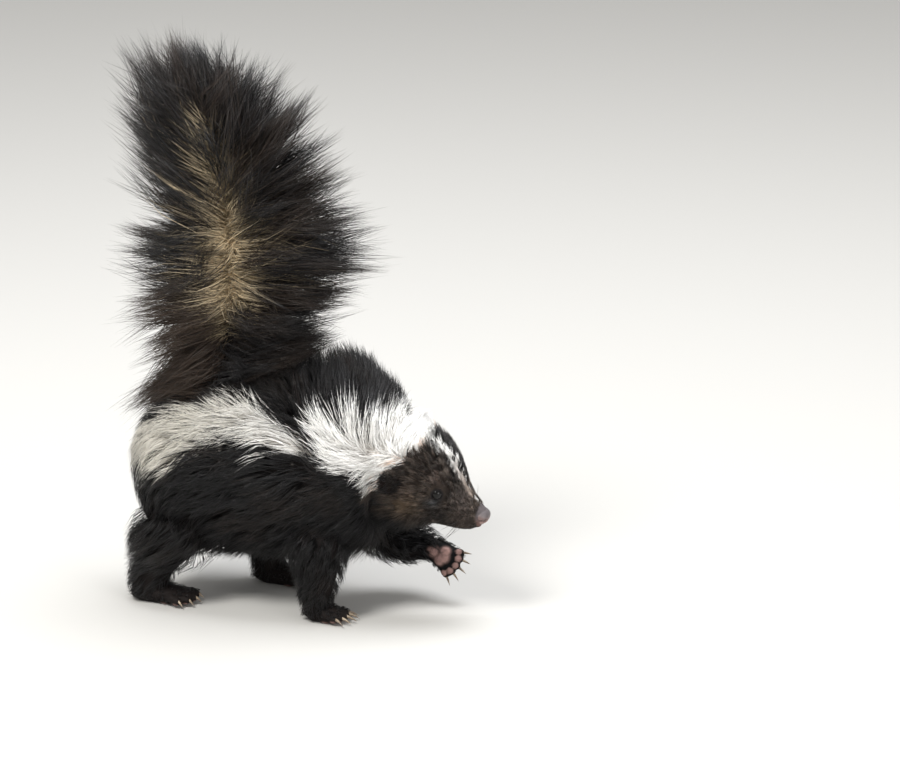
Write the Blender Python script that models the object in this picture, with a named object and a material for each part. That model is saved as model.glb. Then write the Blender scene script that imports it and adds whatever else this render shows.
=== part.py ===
"""A striped skunk walking with its tail raised, life size, in metres.

The animal faces +X, its left side is +Y, and its three standing feet rest on z = 0. Every body form is a
loft: oval sections set along a line, each with its own centre, tilt, half width, height and depth.
"""

import math
import random

import bmesh
import bpy
import numpy as np
from mathutils import Matrix, Vector

GAP = 0.0003  # clearance between touching nodes
SHELL_MOST = 2.5  # how much further than the clearance a sharp corner moves when a form is grown
RING = 24  # points round a body section
LEG_RING = 12

# The head's own frame: it hangs from the neck, nose down, is turned a little to the left, and leans right.
HEAD_ORIGIN = Vector((0.090, 0.0, 0.118))
HEAD_PITCH = -25.0
HEAD_YAW = 9.0
HEAD_ROLL = 14.0
HEAD_BACK = -0.012  # where the head meets the neck, along its axis

# The sloping plane on which the tail's hair starts.
TAIL_PLANE_POINT = Vector((0.060, 0.0, 0.232))
TAIL_PLANE_SLOPE = 13.9

# Stations: centre x, y, z, pitch and yaw in degrees, half width, height above and depth below the centre,
# and a roll in degrees to the right where there is one.
TORSO = (
    (-0.152, 0.000, 0.112, 0.0, 0.0, 0.004, 0.004, 0.004),
    (-0.147, 0.000, 0.115, 0.0, 0.0, 0.031, 0.030, 0.034),
    (-0.136, 0.000, 0.117, 0.0, 0.0, 0.050, 0.047, 0.058),
    (-0.115, 0.000, 0.118, 0.0, 0.0, 0.065, 0.063, 0.074),
    (-0.085, 0.000, 0.118, 0.0, 0.0, 0.073, 0.073, 0.078),
    (-0.045, 0.000, 0.118, 0.0, 0.0, 0.075, 0.084, 0.076),
    (-0.005, 0.000, 0.120, 0.0, 0.0, 0.073, 0.093, 0.076),
    (0.025, 0.000, 0.122, 4.0, 0.0, 0.068, 0.0975, 0.074),
    (0.0535, 0.000, 0.125, 7.4, 0.0, 0.061, 0.098, 0.070),
)
# How far the solid body lies under the tips at each station: forward at the rear end, side, top, bottom.
TORSO_COAT = (
    (0.0100, 0.002, 0.002, 0.002),
    (0.0090, 0.009, 0.008, 0.009),
    (0.0060, 0.011, 0.012, 0.010),
    (0.0020, 0.012, 0.014, 0.010),
    (0.0000, 0.012, 0.016, 0.010),
    (0.0000, 0.012, 0.020, 0.010),
    (0.0000, 0.012, 0.026, 0.010),
    (0.0000, 0.012, 0.032, 0.010),
    (0.0000, 0.012, 0.034, 0.010),
)
NECK_COAT = (
    (0.0000, 0.012, 0.034, 0.010),
    (0.0000, 0.009, 0.020, 0.008),
    (0.0000, 0.001, 0.001, 0.001),
)
TAIL_ROOT = (
    (-0.066, 0.000, 0.150, 100.0, 0.0, 0.022, 0.026, 0.030),
    (-0.064, 0.000, 0.180, 102.0, 0.0, 0.026, 0.032, 0.038),
    (-0.060, 0.000, 0.20200, 103.9, 0.0, 0.030, 0.038, 0.046),
)
NECK_MIDDLE = (0.0715, 0.002, 0.1240, -9.0, 5.0, 0.049, 0.074, 0.058, 7.0)
HEAD = (
    # along the axis, centre height, half width, height above, depth below
    (HEAD_BACK, 0.008, 0.0405, 0.0510, 0.0480),
    (0.000, 0.008, 0.0400, 0.0515, 0.0465),
    (0.012, 0.009, 0.0385, 0.0495, 0.0435),
    (0.024, 0.010, 0.0350, 0.0445, 0.0385),
    (0.036, 0.010, 0.0300, 0.0385, 0.0335),
    (0.047, 0.008, 0.0243, 0.0315, 0.0275),
    (0.056, 0.005, 0.0195, 0.0235, 0.0220),
    (0.064, 0.003, 0.0160, 0.0185, 0.0180),
    (0.072, 0.002, 0.0128, 0.0150, 0.0135),
    (0.0780, 0.003, 0.0095, 0.0110, 0.0095),
)
TAIL = (
    (-0.055, 0.000, 0.2036, 103.9, 0.0, 0.056, 0.085, 0.095),
    (-0.055, 0.000, 0.250, 96.0, 0.0, 0.082, 0.108, 0.112),
    (-0.055, 0.000, 0.290, 90.0, 0.0, 0.094, 0.120, 0.130),
    (-0.056, 0.000, 0.330, 90.0, 0.0, 0.098, 0.120, 0.128),
    (-0.062, 0.000, 0.370, 92.0, 0.0, 0.096, 0.112, 0.118),
    (-0.074, 0.000, 0.410, 95.0, 0.0, 0.087, 0.098, 0.100),
    (-0.086, 0.000, 0.445, 97.0, 0.0, 0.070, 0.080, 0.084),
    (-0.096, 0.000, 0.475, 99.0, 0.0, 0.046, 0.055, 0.058),
    (-0.102, 0.000, 0.4950, 99.0, 0.0, 0.004, 0.004, 0.004),
)
# The solid middle of the tail, under half the hair's length from the tips.
TAIL_CORE = (
    (-0.060, 0.000, 0.20235, 103.9, 0.0, 0.031, 0.040, 0.048),
    (-0.058, 0.000, 0.250, 96.0, 0.0, 0.034, 0.042, 0.046),
    (-0.058, 0.000, 0.290, 90.0, 0.0, 0.034, 0.042, 0.046),
    (-0.060, 0.000, 0.330, 90.0, 0.0, 0.033, 0.040, 0.044),
    (-0.066, 0.000, 0.365, 94.0, 0.0, 0.030, 0.036, 0.039),
    (-0.075, 0.000, 0.395, 98.0, 0.0, 0.025, 0.029, 0.031),
    (-0.083, 0.000, 0.415, 100.0, 0.0, 0.020, 0.022, 0.023),
    (-0.088, 0.000, 0.430, 100.0, 0.0, 0.012, 0.013, 0.013),
)

# Locks of hair: a flat lens across, widest a third of the way up, and drawn to a point.
LOCK_STEPS = (0.0, 0.32, 0.62, 0.85)
LOCK_SPREAD = (0.60, 1.00, 0.78, 0.42)
LOCK_SLOPE = 0.05  # step along the lock over which its direction is read
TAIL_LOCK = {"width": 0.032, "thick": 0.0050, "sink": 0.008}
BODY_LOCK = {"width": 0.018, "thick": 0.0046, "sink": 0.006}
LOCK_CLEAR = 0.0030  # room that a lock leaves round a leg or an ear
TAIL_ROWS = 10
TAIL_ROUND = 11  # locks in a row
TOP_ROUND = 9  # locks in a row near the top
TOP_LEVEL = 0.75
NEAR_RISE = 0.16  # how much higher the tips of the locks near the core lie
NEAR_SHARE = (0.55, 0.70)  # how far the near locks and the outer ones reach towards the outline
OUTER_SHARE = (0.88, 1.03)
LOCK_BEND = 0.70  # how far a tail lock's middle leans straight out from the core
ROOT_LEVELS = (0.05, 0.90)  # lowest and highest root on the core, and tip on the outline
TIP_LEVELS = (0.03, 0.98)
WIDTHS = (0.85, 1.15)  # spread of the locks' widths
REACHES = (1.0, 0.85, 0.7, 0.55)  # a body lock is shortened in these steps until it is clear
CORE_SHARE = 0.93  # the highest row's roots keep this far up the core
SEED = 21
# Rows of body locks: root station, tip station, first and last angle, how many, and how far tips droop.
TORSO_ROWS = (
    (7.6, 6.3, -60.0, 240.0, 13, 8.0),
    (6.9, 5.5, -75.0, 255.0, 13, 10.0),
    (6.1, 4.7, -75.0, 255.0, 13, 10.0),
    (5.2, 3.8, -75.0, 255.0, 13, 12.0),
    (4.3, 2.8, -75.0, 255.0, 12, 12.0),
    (3.4, 1.7, -75.0, 255.0, 11, 14.0),
    (2.4, 0.9, -75.0, 255.0, 10, 16.0),
)
NECK_ROWS = (
    (1.30, 0.30, -80.0, 260.0, 16, 6.0),
    (0.85, 0.10, 40.0, 140.0, 6, 2.0),
)

# Legs run down, so their half width is across the body, and height and depth are front and back.
FORE_RIGHT = (
    (0.032, -0.034, 0.082, -90.0, 0.0, 0.020, 0.027, 0.026),
    (0.034, -0.038, 0.060, -90.0, 0.0, 0.022, 0.027, 0.028),
    (0.036, -0.043, 0.038, -90.0, 0.0, 0.0185, 0.0205, 0.0205),
    (0.035, -0.045, 0.020, -90.0, 0.0, 0.0140, 0.0150, 0.0155),
    (0.035, -0.045, 0.004, -90.0, 0.0, 0.0115, 0.0120, 0.0120),
    (0.035, -0.045, -0.003, -90.0, 0.0, 0.0100, 0.0110, 0.0110),
)
HIND_RIGHT = (
    (-0.098, -0.036, 0.092, -90.0, 0.0, 0.022, 0.036, 0.036),
    (-0.0955, -0.040, 0.066, -90.0, 0.0, 0.025, 0.0405, 0.0415),
    (-0.1015, -0.043, 0.046, -90.0, 0.0, 0.0235, 0.0360, 0.0370),
    (-0.1140, -0.045, 0.028, -90.0, 0.0, 0.0180, 0.0235, 0.0250),
    (-0.122, -0.045, 0.004, -90.0, 0.0, 0.0125, 0.0150, 0.0160),
    (-0.122, -0.045, -0.003, -90.0, 0.0, 0.0110, 0.0140, 0.0150),
)
HIND_LEFT = (
    (-0.062, 0.036, 0.092, -90.0, 0.0, 0.022, 0.028, 0.028),
    (-0.056, 0.038, 0.066, -90.0, 0.0, 0.023, 0.032, 0.030),
    (-0.050, 0.040, 0.042, -90.0, 0.0, 0.0195, 0.0250, 0.0250),
    (-0.046, 0.040, 0.022, -90.0, 0.0, 0.0140, 0.0160, 0.0170),
    (-0.046, 0.040, 0.004, -90.0, 0.0, 0.0120, 0.0150, 0.0155),
    (-0.046, 0.040, -0.003, -90.0, 0.0, 0.0110, 0.0140, 0.0150),
)
# The left foreleg is lifted: down from the shoulder, then forward to the wrist.
FORE_LEFT = (
    (0.042, 0.034, 0.086, -75.0, 8.0, 0.020, 0.022, 0.022),
    (0.050, 0.040, 0.066, -65.0, 8.0, 0.022, 0.024, 0.026),
    (0.066, 0.046, 0.052, -30.0, 4.0, 0.0200, 0.0210, 0.0240),
    (0.083, 0.048, 0.0475, -12.0, -4.0, 0.0175, 0.0165, 0.0210),
    (0.097, 0.047, 0.0460, -12.0, -8.0, 0.0125, 0.0120, 0.0150),
    (0.107, 0.046, 0.0430, -20.0, -10.0, 0.0080, 0.0095, 0.0105),
    (0.112, 0.045, 0.0410, -24.0, -10.0, 0.0045, 0.0060, 0.0060),
)
# The lifted paw points forward and down, its palm towards the right.
PAW_PITCH = -28.0
PAW_YAW = -10.0
PAW_LEFT = Vector((0.0, -0.35, -1.0))

# Ankles, where the feet start.
ANKLE_FORE_RIGHT = (0.036, -0.045, 0.0065)
ANKLE_FORE_LEFT = (0.106, 0.046, 0.0440)
ANKLE_HIND_RIGHT = (-0.120, -0.045, 0.0070)
ANKLE_HIND_LEFT = (-0.043, 0.040, 0.0070)
# Feet: half length, half width and half height of the pad, a toe's radius and a claw's length.
FORE_FOOT = {"length": 0.0155, "width": 0.0110, "height": 0.0085, "toe": 0.0043, "claw": 0.0100}
HIND_FOOT = {"length": 0.0270, "width": 0.0125, "height": 0.0090, "toe": 0.0046, "claw": 0.0060}
FOOT_SPREAD = 13.0  # degrees between neighbouring toes
PAD_SHARE = 0.45  # how far ahead of the ankle the pad's middle is, in pad lengths
TOE_SHORTER = 0.05  # how much less far the outer toes reach
TOE_SPACING = 0.24  # in pad widths
TOE_DROP = 0.0010
TOE_SHAPE = (1.5, 0.80, 1.0)  # a toe's length, width and height, in toe radii
CLAW_ROOT = (0.9, 0.15)  # where a claw starts ahead of and above a toe's middle, in toe radii
CLAW_DROP = 0.80
CLAW_RADIUS = 0.36
CLAW_POINT = 0.12  # a claw's tip radius as a share of its root's

EYE_RADIUS = 0.0047
EYE_PLACE = (0.0380, 0.0243, 0.0208)  # along, across and above the head's axis
EYE_TURN = 22.0  # how far each eye looks forward of straight sideways
NOSE_PLACE = 0.0775
NOSE_ABOVE = 0.0060
NOSE_RADII = (0.0078, 0.0084, 0.0078)
NOSTRIL = {"side": 0.0040, "ahead": 0.0050, "low": 0.0008, "radii": (0.0036, 0.0015, 0.0021)}
NOSTRIL_TURN = -35.0
EAR_PLACE = (-0.0005, 0.0378, 0.0175)
EAR_RADII = (0.0095, 0.0060, 0.0125)
EAR_TURN = 20.0
EAR_CUP = (0.0062, 0.0052, 0.0088)
EAR_CUP_SHIFT = (0.0010, 0.0048, 0.0005)  # the cup's middle, ahead, outward and above the ear's
LID = {"radius": 0.0050, "thick": 0.0012, "out": 0.0012}
MOUTH_ANGLE = -40.0  # where the mouth's line runs round the muzzle's section
MOUTH_FROM = 5.0  # the head station at the mouth's corners
MOUTH_POINTS = 5
MOUTH_FRONT = (-65.0, -90.0, -115.0)  # its points under the nose
LIP_RADIUS = 0.0016
MOUTH_RADIUS = 0.0006

COLOURS = {
    "coat_black": (0.012, 0.011, 0.012, 0.72),
    "coat_white": (0.86, 0.84, 0.78, 0.75),
    "face": (0.060, 0.048, 0.042, 0.70),
    "nose": (0.170, 0.110, 0.110, 0.38),
    "eye": (0.006, 0.005, 0.005, 0.06),
    "ear": (0.030, 0.024, 0.022, 0.75),
}


def direction(pitch, yaw):
    """The unit vector at a pitch above the floor and a yaw to the left of +X, in degrees."""
    p = math.radians(pitch)
    y = math.radians(yaw)
    return Vector((math.cos(p) * math.cos(y), math.cos(p) * math.sin(y), math.sin(p)))


def across(yaw):
    y = math.radians(yaw)
    return Vector((-math.sin(y), math.cos(y), 0.0))


def axes(pitch, yaw, roll=0.0):
    """Forward, left and up for a pitch, a yaw and a roll to the right, in degrees."""
    forward = direction(pitch, yaw)
    level = across(yaw)
    turn = math.radians(roll)
    left = level * math.cos(turn) + forward.cross(level) * math.sin(turn)
    return forward, left, forward.cross(left)


def head_axes():
    return axes(HEAD_PITCH, HEAD_YAW, HEAD_ROLL)


def head_point(along, side, above):
    """A place in the head's own frame, in the animal's frame."""
    forward, left, up = head_axes()
    return HEAD_ORIGIN + forward * along + left * side + up * above


def head_station(along, above, half_width, up, down):
    place = head_point(along, 0.0, above)
    return (*place, HEAD_PITCH, HEAD_YAW, half_width, up, down, HEAD_ROLL)


class Loft:
    """Oval sections read from a smooth curve through the stations."""

    def __init__(self, stations):
        self.rows = np.array([row if len(row) == 9 else (*row, 0.0) for row in stations], float)

    def row(self, s):
        last = len(self.rows) - 1
        i = min(int(s), last - 1)
        t = s - i
        a, b = self.rows[i], self.rows[i + 1]
        before = self.rows[i - 1] if i > 0 else a
        after = self.rows[i + 2] if i + 2 <= last else b
        slope_a = (b - before) / 2.0 if i > 0 else b - a
        slope_b = (after - a) / 2.0 if i + 2 <= last else b - a
        t2, t3 = t * t, t * t * t
        return (
            (2 * t3 - 3 * t2 + 1) * a
            + (t3 - 2 * t2 + t) * slope_a
            + (3 * t2 - 2 * t3) * b
            + (t3 - t2) * slope_b
        )

    def point(self, s, angle):
        """A place on the surface; angle 0 is the left side, a quarter turn is up."""
        x, y, z, pitch, yaw, half_width, up, down, roll = self.row(s)
        left, above = axes(pitch, yaw, roll)[1:]
        height = up if math.sin(angle) > 0.0 else down
        return Vector((x, y, z)) + left * (half_width * math.cos(angle)) + above * (height * math.sin(angle))

    def mesh(self, ring, steps, round_start=False, round_end=False):
        """A closed mesh with steps rings between stations, and flat or rounded ends."""
        bm = bmesh.new()
        count = (len(self.rows) - 1) * steps
        rings = []
        for k in range(count + 1):
            angles = [2.0 * math.pi * j / ring for j in range(ring)]
            rings.append([bm.verts.new(self.point(k / steps, angle)) for angle in angles])
        for low, high in zip(rings, rings[1:]):
            for j in range(ring):
                n = (j + 1) % ring
                bm.faces.new((low[j], low[n], high[n], high[j]))
        for end, rounded in ((rings[0], round_start), (rings[-1], round_end)):
            if rounded:
                pole = bm.verts.new(sum((v.co for v in end), Vector()) / ring)
                for j in range(ring):
                    bm.faces.new((end[j], end[(j + 1) % ring], pole))
            else:
                bm.faces.new(end)
        bmesh.ops.recalc_face_normals(bm, faces=bm.faces)
        mesh = bpy.data.meshes.new("loft")
        bm.to_mesh(mesh)
        bm.free()
        return mesh


def material(name):
    found = bpy.data.materials.get(name)
    if found:
        return found
    red, green, blue, roughness = COLOURS[name]
    made = bpy.data.materials.new(name)
    made.use_nodes = True
    shader = made.node_tree.nodes["Principled BSDF"]
    shader.inputs["Base Color"].default_value = (red, green, blue, 1.0)
    shader.inputs["Roughness"].default_value = roughness
    shader.inputs["Metallic"].default_value = 0.0
    return made


def add_object(name, mesh, collection):
    obj = bpy.data.objects.new(name, mesh)
    collection.objects.link(obj)
    return obj


def ellipsoid(radii, matrix, segments=12, rings=8):
    """A closed ball with three radii, placed by a matrix."""
    bm = bmesh.new()
    bmesh.ops.create_uvsphere(bm, u_segments=segments, v_segments=rings, radius=1.0)
    bmesh.ops.transform(bm, matrix=matrix @ Matrix.Diagonal((*radii, 1.0)), verts=bm.verts)
    mesh = bpy.data.meshes.new("ellipsoid")
    bm.to_mesh(mesh)
    bm.free()
    return mesh


def cone(base, tip, radius, sides=5):
    """A closed cone from a base point to a sharp tip."""
    run = tip - base
    bm = bmesh.new()
    bmesh.ops.create_cone(
        bm, cap_ends=True, segments=sides, radius1=radius, radius2=radius * CLAW_POINT, depth=run.length
    )
    turn = run.to_track_quat("Z", "Y").to_matrix().to_4x4()
    place = Matrix.Translation((base + tip) / 2.0) @ turn
    bmesh.ops.transform(bm, matrix=place, verts=bm.verts)
    mesh = bpy.data.meshes.new("cone")
    bm.to_mesh(mesh)
    bm.free()
    return mesh


def shrunk(stations, depths):
    """The solid body under a coat: each station drawn in by its depths."""
    rows = []
    for station, (ahead, side, top, bottom) in zip(stations, depths):
        x, y, z, pitch, yaw, half_width, up, down, *roll = station
        rows.append((x + ahead, y, z, pitch, yaw, half_width - side, up - top, down - bottom, *roll))
    return tuple(rows)


def bend(root, middle, tip, t):
    """A point on the curve from a root past a middle to a tip."""
    return root * (1.0 - t) ** 2 + middle * 2.0 * t * (1.0 - t) + tip * t * t


def lock_mesh(root, middle, tip, across_line, width, thick, roll):
    """One flat tapered lock along a bent line; across_line is the way its width lies before its roll."""
    bm = bmesh.new()
    rings = []
    for t, spread in zip(LOCK_STEPS, LOCK_SPREAD):
        centre = bend(root, middle, tip, t)
        ahead = bend(root, middle, tip, t + LOCK_SLOPE)
        along = (ahead - bend(root, middle, tip, t - LOCK_SLOPE)).normalized()
        side = (across_line - along * across_line.dot(along)).normalized()
        face = side.cross(along)
        turned_side = side * math.cos(roll) + face * math.sin(roll)
        turned_face = face * math.cos(roll) - side * math.sin(roll)
        half = turned_side * width * spread / 2.0
        rise = turned_face * thick * (0.5 + 0.5 * spread) / 2.0
        rings.append([bm.verts.new(centre + offset) for offset in (half, rise, -half, -rise)])
    for low, high in zip(rings, rings[1:]):
        for j in range(4):
            bm.faces.new((low[j], low[(j + 1) % 4], high[(j + 1) % 4], high[j]))
    end = bm.verts.new(tip)
    for j in range(4):
        bm.faces.new((rings[-1][j], rings[-1][(j + 1) % 4], end))
    bm.faces.new(rings[0])
    bmesh.ops.recalc_face_normals(bm, faces=bm.faces)
    mesh = bpy.data.meshes.new("lock")
    bm.to_mesh(mesh)
    bm.free()
    return mesh


def within(value, limits):
    return min(max(value, limits[0]), limits[1])


def clear_of(mesh, lofts):
    """Whether a lock leaves room round every leg or ear near it."""
    for loft in lofts:
        last = len(loft.rows) - 1
        for k in range(4 * last + 1):
            row = loft.row(k / 4.0)
            reach = max(row[5:8]) + LOCK_CLEAR
            centre = Vector(row[:3])
            if any((v.co - centre).length < reach for v in mesh.vertices):
                return False
    return True


def behind(mesh, planes):
    """Whether a lock keeps behind every plane, each a point and the way it faces."""
    return all((v.co - point).dot(normal) < -GAP for v in mesh.vertices for point, normal in planes)


def tail_lock(core, plume, level, angle, near, rng):
    """One lock of the tail: an outer one reaches the plume's outline, a near one lies up along the core."""
    root_level = within(level * CORE_SHARE + rng.uniform(-0.02, 0.02), ROOT_LEVELS)
    s = (len(TAIL_CORE) - 1) * root_level
    base = core.point(s, angle)
    out = (base - Vector(core.row(s)[:3])).normalized()
    root = base - out * TAIL_LOCK["sink"]
    rise = NEAR_RISE if near else 0.0
    tip_s = (len(TAIL) - 1) * within(level + rise + rng.uniform(-0.05, 0.05), TIP_LEVELS)
    tip = plume.point(tip_s, angle + rng.uniform(-0.12, 0.12))
    tip = base + (tip - base) * rng.uniform(*(NEAR_SHARE if near else OUTER_SHARE))
    run = tip - root
    lean = out * LOCK_BEND + run.normalized() * (1.0 - LOCK_BEND)
    middle = root + lean.normalized() * run.length * 0.52
    round_about = Vector((-math.sin(angle), math.cos(angle), 0.0))
    width_line = round_about if near else Vector((0.0, 0.0, 1.0))
    roll = rng.uniform(-0.3, 0.3) if near else rng.uniform(-1.0, 1.0)
    width = TAIL_LOCK["width"] * rng.uniform(*WIDTHS)
    lift = Vector()
    normal = direction(TAIL_PLANE_SLOPE + 90.0, 0.0)
    while True:
        points = [point + lift for point in (root, middle, tip)]
        mesh = lock_mesh(*points, width_line, width, TAIL_LOCK["thick"], roll)
        lowest = min((v.co - TAIL_PLANE_POINT).dot(normal) for v in mesh.vertices)
        if lowest >= GAP:
            return mesh
        bpy.data.meshes.remove(mesh)
        lift += normal * (2.0 * GAP - lowest)


def tail_locks():
    """Rows of locks round the tail, from its core out to the plume's outline."""
    rng = random.Random(SEED)
    core = Loft(TAIL_CORE)
    plume = Loft(TAIL)
    meshes = []
    for row in range(TAIL_ROWS):
        level = (row + 0.5) / TAIL_ROWS
        count = TAIL_ROUND if level < TOP_LEVEL else TOP_ROUND
        for k in range(count):
            angle = 2.0 * math.pi * (k + 0.5 * (row % 2) + rng.uniform(-0.25, 0.25)) / count
            meshes.append(tail_lock(core, plume, level, angle, (k + row) % 3 == 0, rng))
    return meshes


def body_locks(outline, core, rows, clear, seed, planes):
    """Locks along the coat. Each row gives its root and tip stations and the angles it covers, in degrees."""
    rng = random.Random(seed)
    outer = Loft(outline)
    inner = Loft(core)
    meshes = []
    for number, (root_s, tip_s, first, last, count, droop) in enumerate(rows):
        for k in range(count):
            share = (k + 0.5 * (number % 2) + rng.uniform(-0.2, 0.2)) / count
            angle = math.radians(first + (last - first) * share)
            fall = -math.radians(droop) * math.cos(angle)
            s = root_s + rng.uniform(-0.10, 0.10)
            end_s = tip_s + rng.uniform(-0.12, 0.12)
            tip_angle = angle + fall * (1.0 if math.cos(angle) * fall < 0.0 else -1.0)
            spine = Vector(inner.row(s)[:3])
            base = inner.point(s, angle)
            out = (base - spine).normalized()
            root = base - out * BODY_LOCK["sink"]
            tip = outer.point(end_s, tip_angle)
            half_s = 0.55 * s + 0.45 * end_s
            half_angle = 0.5 * (angle + tip_angle)
            middle = outer.point(half_s, half_angle) * 0.85 + inner.point(half_s, half_angle) * 0.15
            width = BODY_LOCK["width"] * rng.uniform(*WIDTHS)
            roll = rng.uniform(-0.25, 0.25)
            width_line = (tip - root).cross(out)
            for reach in REACHES:
                points = [root + (point - root) * reach for point in (middle, tip)]
                mesh = lock_mesh(root, *points, width_line, width, BODY_LOCK["thick"], roll)
                if clear_of(mesh, clear) and behind(mesh, planes):
                    meshes.append(mesh)
                    break
                bpy.data.meshes.remove(mesh)
    return meshes


def grown(mesh, amount=GAP):
    """The mesh moved outward all over, to cut its neighbours clear of it."""
    bm = bmesh.new()
    bm.from_mesh(mesh)
    bm.normal_update()
    moves = [v.normal * amount * min(v.calc_shell_factor(), SHELL_MOST) for v in bm.verts]
    for v, move in zip(bm.verts, moves):
        v.co += move
    bm.to_mesh(mesh)
    bm.free()
    return mesh


def keep_largest(mesh):
    """Only the largest closed surface stays, so sealed hollows fill and loose scraps go."""
    bm = bmesh.new()
    bm.from_mesh(mesh)
    unseen = set(bm.faces)
    groups = []
    while unseen:
        front = [unseen.pop()]
        group = list(front)
        while front:
            face = front.pop()
            for edge in face.edges:
                for other in edge.link_faces:
                    if other in unseen:
                        unseen.remove(other)
                        group.append(other)
                        front.append(other)
        groups.append(group)
    size = [sum(face.calc_area() for face in group) for group in groups]
    largest = size.index(max(size))
    drop = [face for i, group in enumerate(groups) if i != largest for face in group]
    if drop:
        bmesh.ops.delete(bm, geom=drop, context="FACES")
        bm.to_mesh(mesh)
    bm.free()


def combine(target, tools, operation, solver="EXACT"):
    """One Boolean with a collection of closed meshes, applied; the collection's objects are removed."""
    group = bpy.data.collections.new("tools")
    bpy.context.scene.collection.children.link(group)
    for tool in tools:
        for held_in in list(tool.users_collection):
            held_in.objects.unlink(tool)
        group.objects.link(tool)
    modifier = target.modifiers.new(operation.title(), "BOOLEAN")
    modifier.operation = operation
    modifier.operand_type = "COLLECTION"
    modifier.collection = group
    modifier.solver = solver
    seen = target.evaluated_get(bpy.context.evaluated_depsgraph_get())
    mesh = bpy.data.meshes.new_from_object(seen)
    target.modifiers.remove(modifier)
    target.data = mesh
    for tool in tools:
        bpy.data.objects.remove(tool)
    bpy.data.collections.remove(group)
    keep_largest(mesh)


def cutter(mesh, collection):
    obj = add_object("cutter", mesh, collection)
    obj.hide_render = True
    obj.display_type = "WIRE"
    return obj


def turned(place, forward, left):
    """A matrix whose X runs forward, Y to the left and Z up from them."""
    up = forward.cross(left)
    return Matrix.Translation(place) @ Matrix((forward, left, up)).transposed().to_4x4()


def chest_place():
    """The middle of the flat end where the torso meets the neck."""
    return Vector(TORSO[-1][:3])


def chest_way():
    """The way that end faces."""
    return direction(TORSO[-1][3], TORSO[-1][4])


def neck_stations():
    start = list(TORSO[-1])
    end = head_station(HEAD_BACK - GAP, *HEAD[0][1:])
    start[:3] = chest_place() + chest_way() * GAP
    return (tuple(start), NECK_MIDDLE, end)


def head_stations():
    return tuple(head_station(*row) for row in HEAD)


def foot_pieces(ankle, forward, left, sizes, collection):
    """Pad, toes and claws of one foot, pointing along forward."""
    up = forward.cross(left)
    toe = sizes["toe"]
    pad_centre = ankle + forward * sizes["length"] * PAD_SHARE
    radii = (sizes["length"], sizes["width"], sizes["height"])
    pieces = [ellipsoid(radii, turned(pad_centre, forward, left), 10, 6)]
    for number in range(5):
        step = number - 2
        turn = math.radians(FOOT_SPREAD * step)
        heading = forward * math.cos(turn) + left * math.sin(turn)
        reach = sizes["length"] * (1.0 - TOE_SHORTER * step * step)
        centre = pad_centre + heading * reach + left * step * sizes["width"] * TOE_SPACING - up * TOE_DROP
        radii = [toe * share for share in TOE_SHAPE]
        pieces.append(ellipsoid(radii, turned(centre, heading, up.cross(heading)), 6, 4))
        base = centre + (heading * CLAW_ROOT[0] + up * CLAW_ROOT[1]) * toe
        tip = base + heading * sizes["claw"] - up * toe * CLAW_DROP
        pieces.append(cone(base, tip, toe * CLAW_RADIUS))
    return [add_object("piece", mesh, collection) for mesh in pieces]


def make_leg(name, stations, steps, ankle, heading, sizes, parts, tools):
    """A leg with its foot, cut clear of the body above it and flat on the floor."""
    leg = add_object(name, Loft(stations).mesh(LEG_RING, steps, True, True), parts)
    forward, left = heading
    combine(leg, foot_pieces(Vector(ankle), forward, left, sizes, tools), "UNION")
    clear = [cutter(grown(mesh, 1.5 * GAP), tools) for mesh in (torso_mesh(), neck_mesh())]
    floor = bmesh.new()
    bmesh.ops.create_cube(floor, size=1.0, matrix=Matrix.Translation((0.0, 0.0, -0.5)))
    mesh = bpy.data.meshes.new("floor")
    floor.to_mesh(mesh)
    floor.free()
    combine(leg, clear + [cutter(mesh, tools)], "DIFFERENCE")
    leg.data.materials.clear()
    leg.data.materials.append(material("coat_black"))
    return leg


def torso_core():
    return shrunk(TORSO, TORSO_COAT)


def neck_core():
    return shrunk(neck_stations(), NECK_COAT)


def torso_mesh():
    return Loft(torso_core()).mesh(RING, 2, round_start=True)


def neck_mesh():
    return Loft(neck_core()).mesh(RING, 3)


def head_mesh():
    return Loft(head_stations()).mesh(RING, 2, round_end=True)


def make_torso(parts, tools):
    torso = add_object("torso", torso_mesh(), parts)
    planes = (
        (TAIL_PLANE_POINT, direction(TAIL_PLANE_SLOPE + 90.0, 0.0)),
        (chest_place(), chest_way()),
    )
    meshes = body_locks(TORSO, torso_core(), TORSO_ROWS, leg_lofts(), SEED, planes)
    meshes.append(Loft(TAIL_ROOT).mesh(RING, 1))
    combine(torso, [add_object("piece", mesh, tools) for mesh in meshes], "UNION", "MANIFOLD")
    torso.data.materials.clear()
    torso.data.materials.append(material("coat_black"))
    return torso


def make_neck(parts, tools):
    neck = add_object("neck", neck_mesh(), parts)
    clear = leg_lofts() + [Loft(ear_stations(side)) for side in (-1.0, 1.0)]
    planes = (
        (chest_place(), -chest_way()),
        (head_point(HEAD_BACK, 0.0, 0.0), direction(HEAD_PITCH, HEAD_YAW)),
    )
    meshes = body_locks(neck_stations(), neck_core(), NECK_ROWS, clear, SEED, planes)
    combine(neck, [add_object("piece", mesh, tools) for mesh in meshes], "UNION", "MANIFOLD")
    combine(neck, [cutter(grown(head_mesh(), 2.0 * GAP), tools)], "DIFFERENCE", "MANIFOLD")
    neck.data.materials.clear()
    neck.data.materials.append(material("coat_white"))
    return neck


def make_tail(parts, tools):
    tail = add_object("tail", Loft(TAIL_CORE).mesh(RING, 2, round_end=True), parts)
    combine(tail, [add_object("piece", mesh, tools) for mesh in tail_locks()], "UNION", "MANIFOLD")
    tail.data.materials.clear()
    tail.data.materials.append(material("coat_black"))
    return tail


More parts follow.
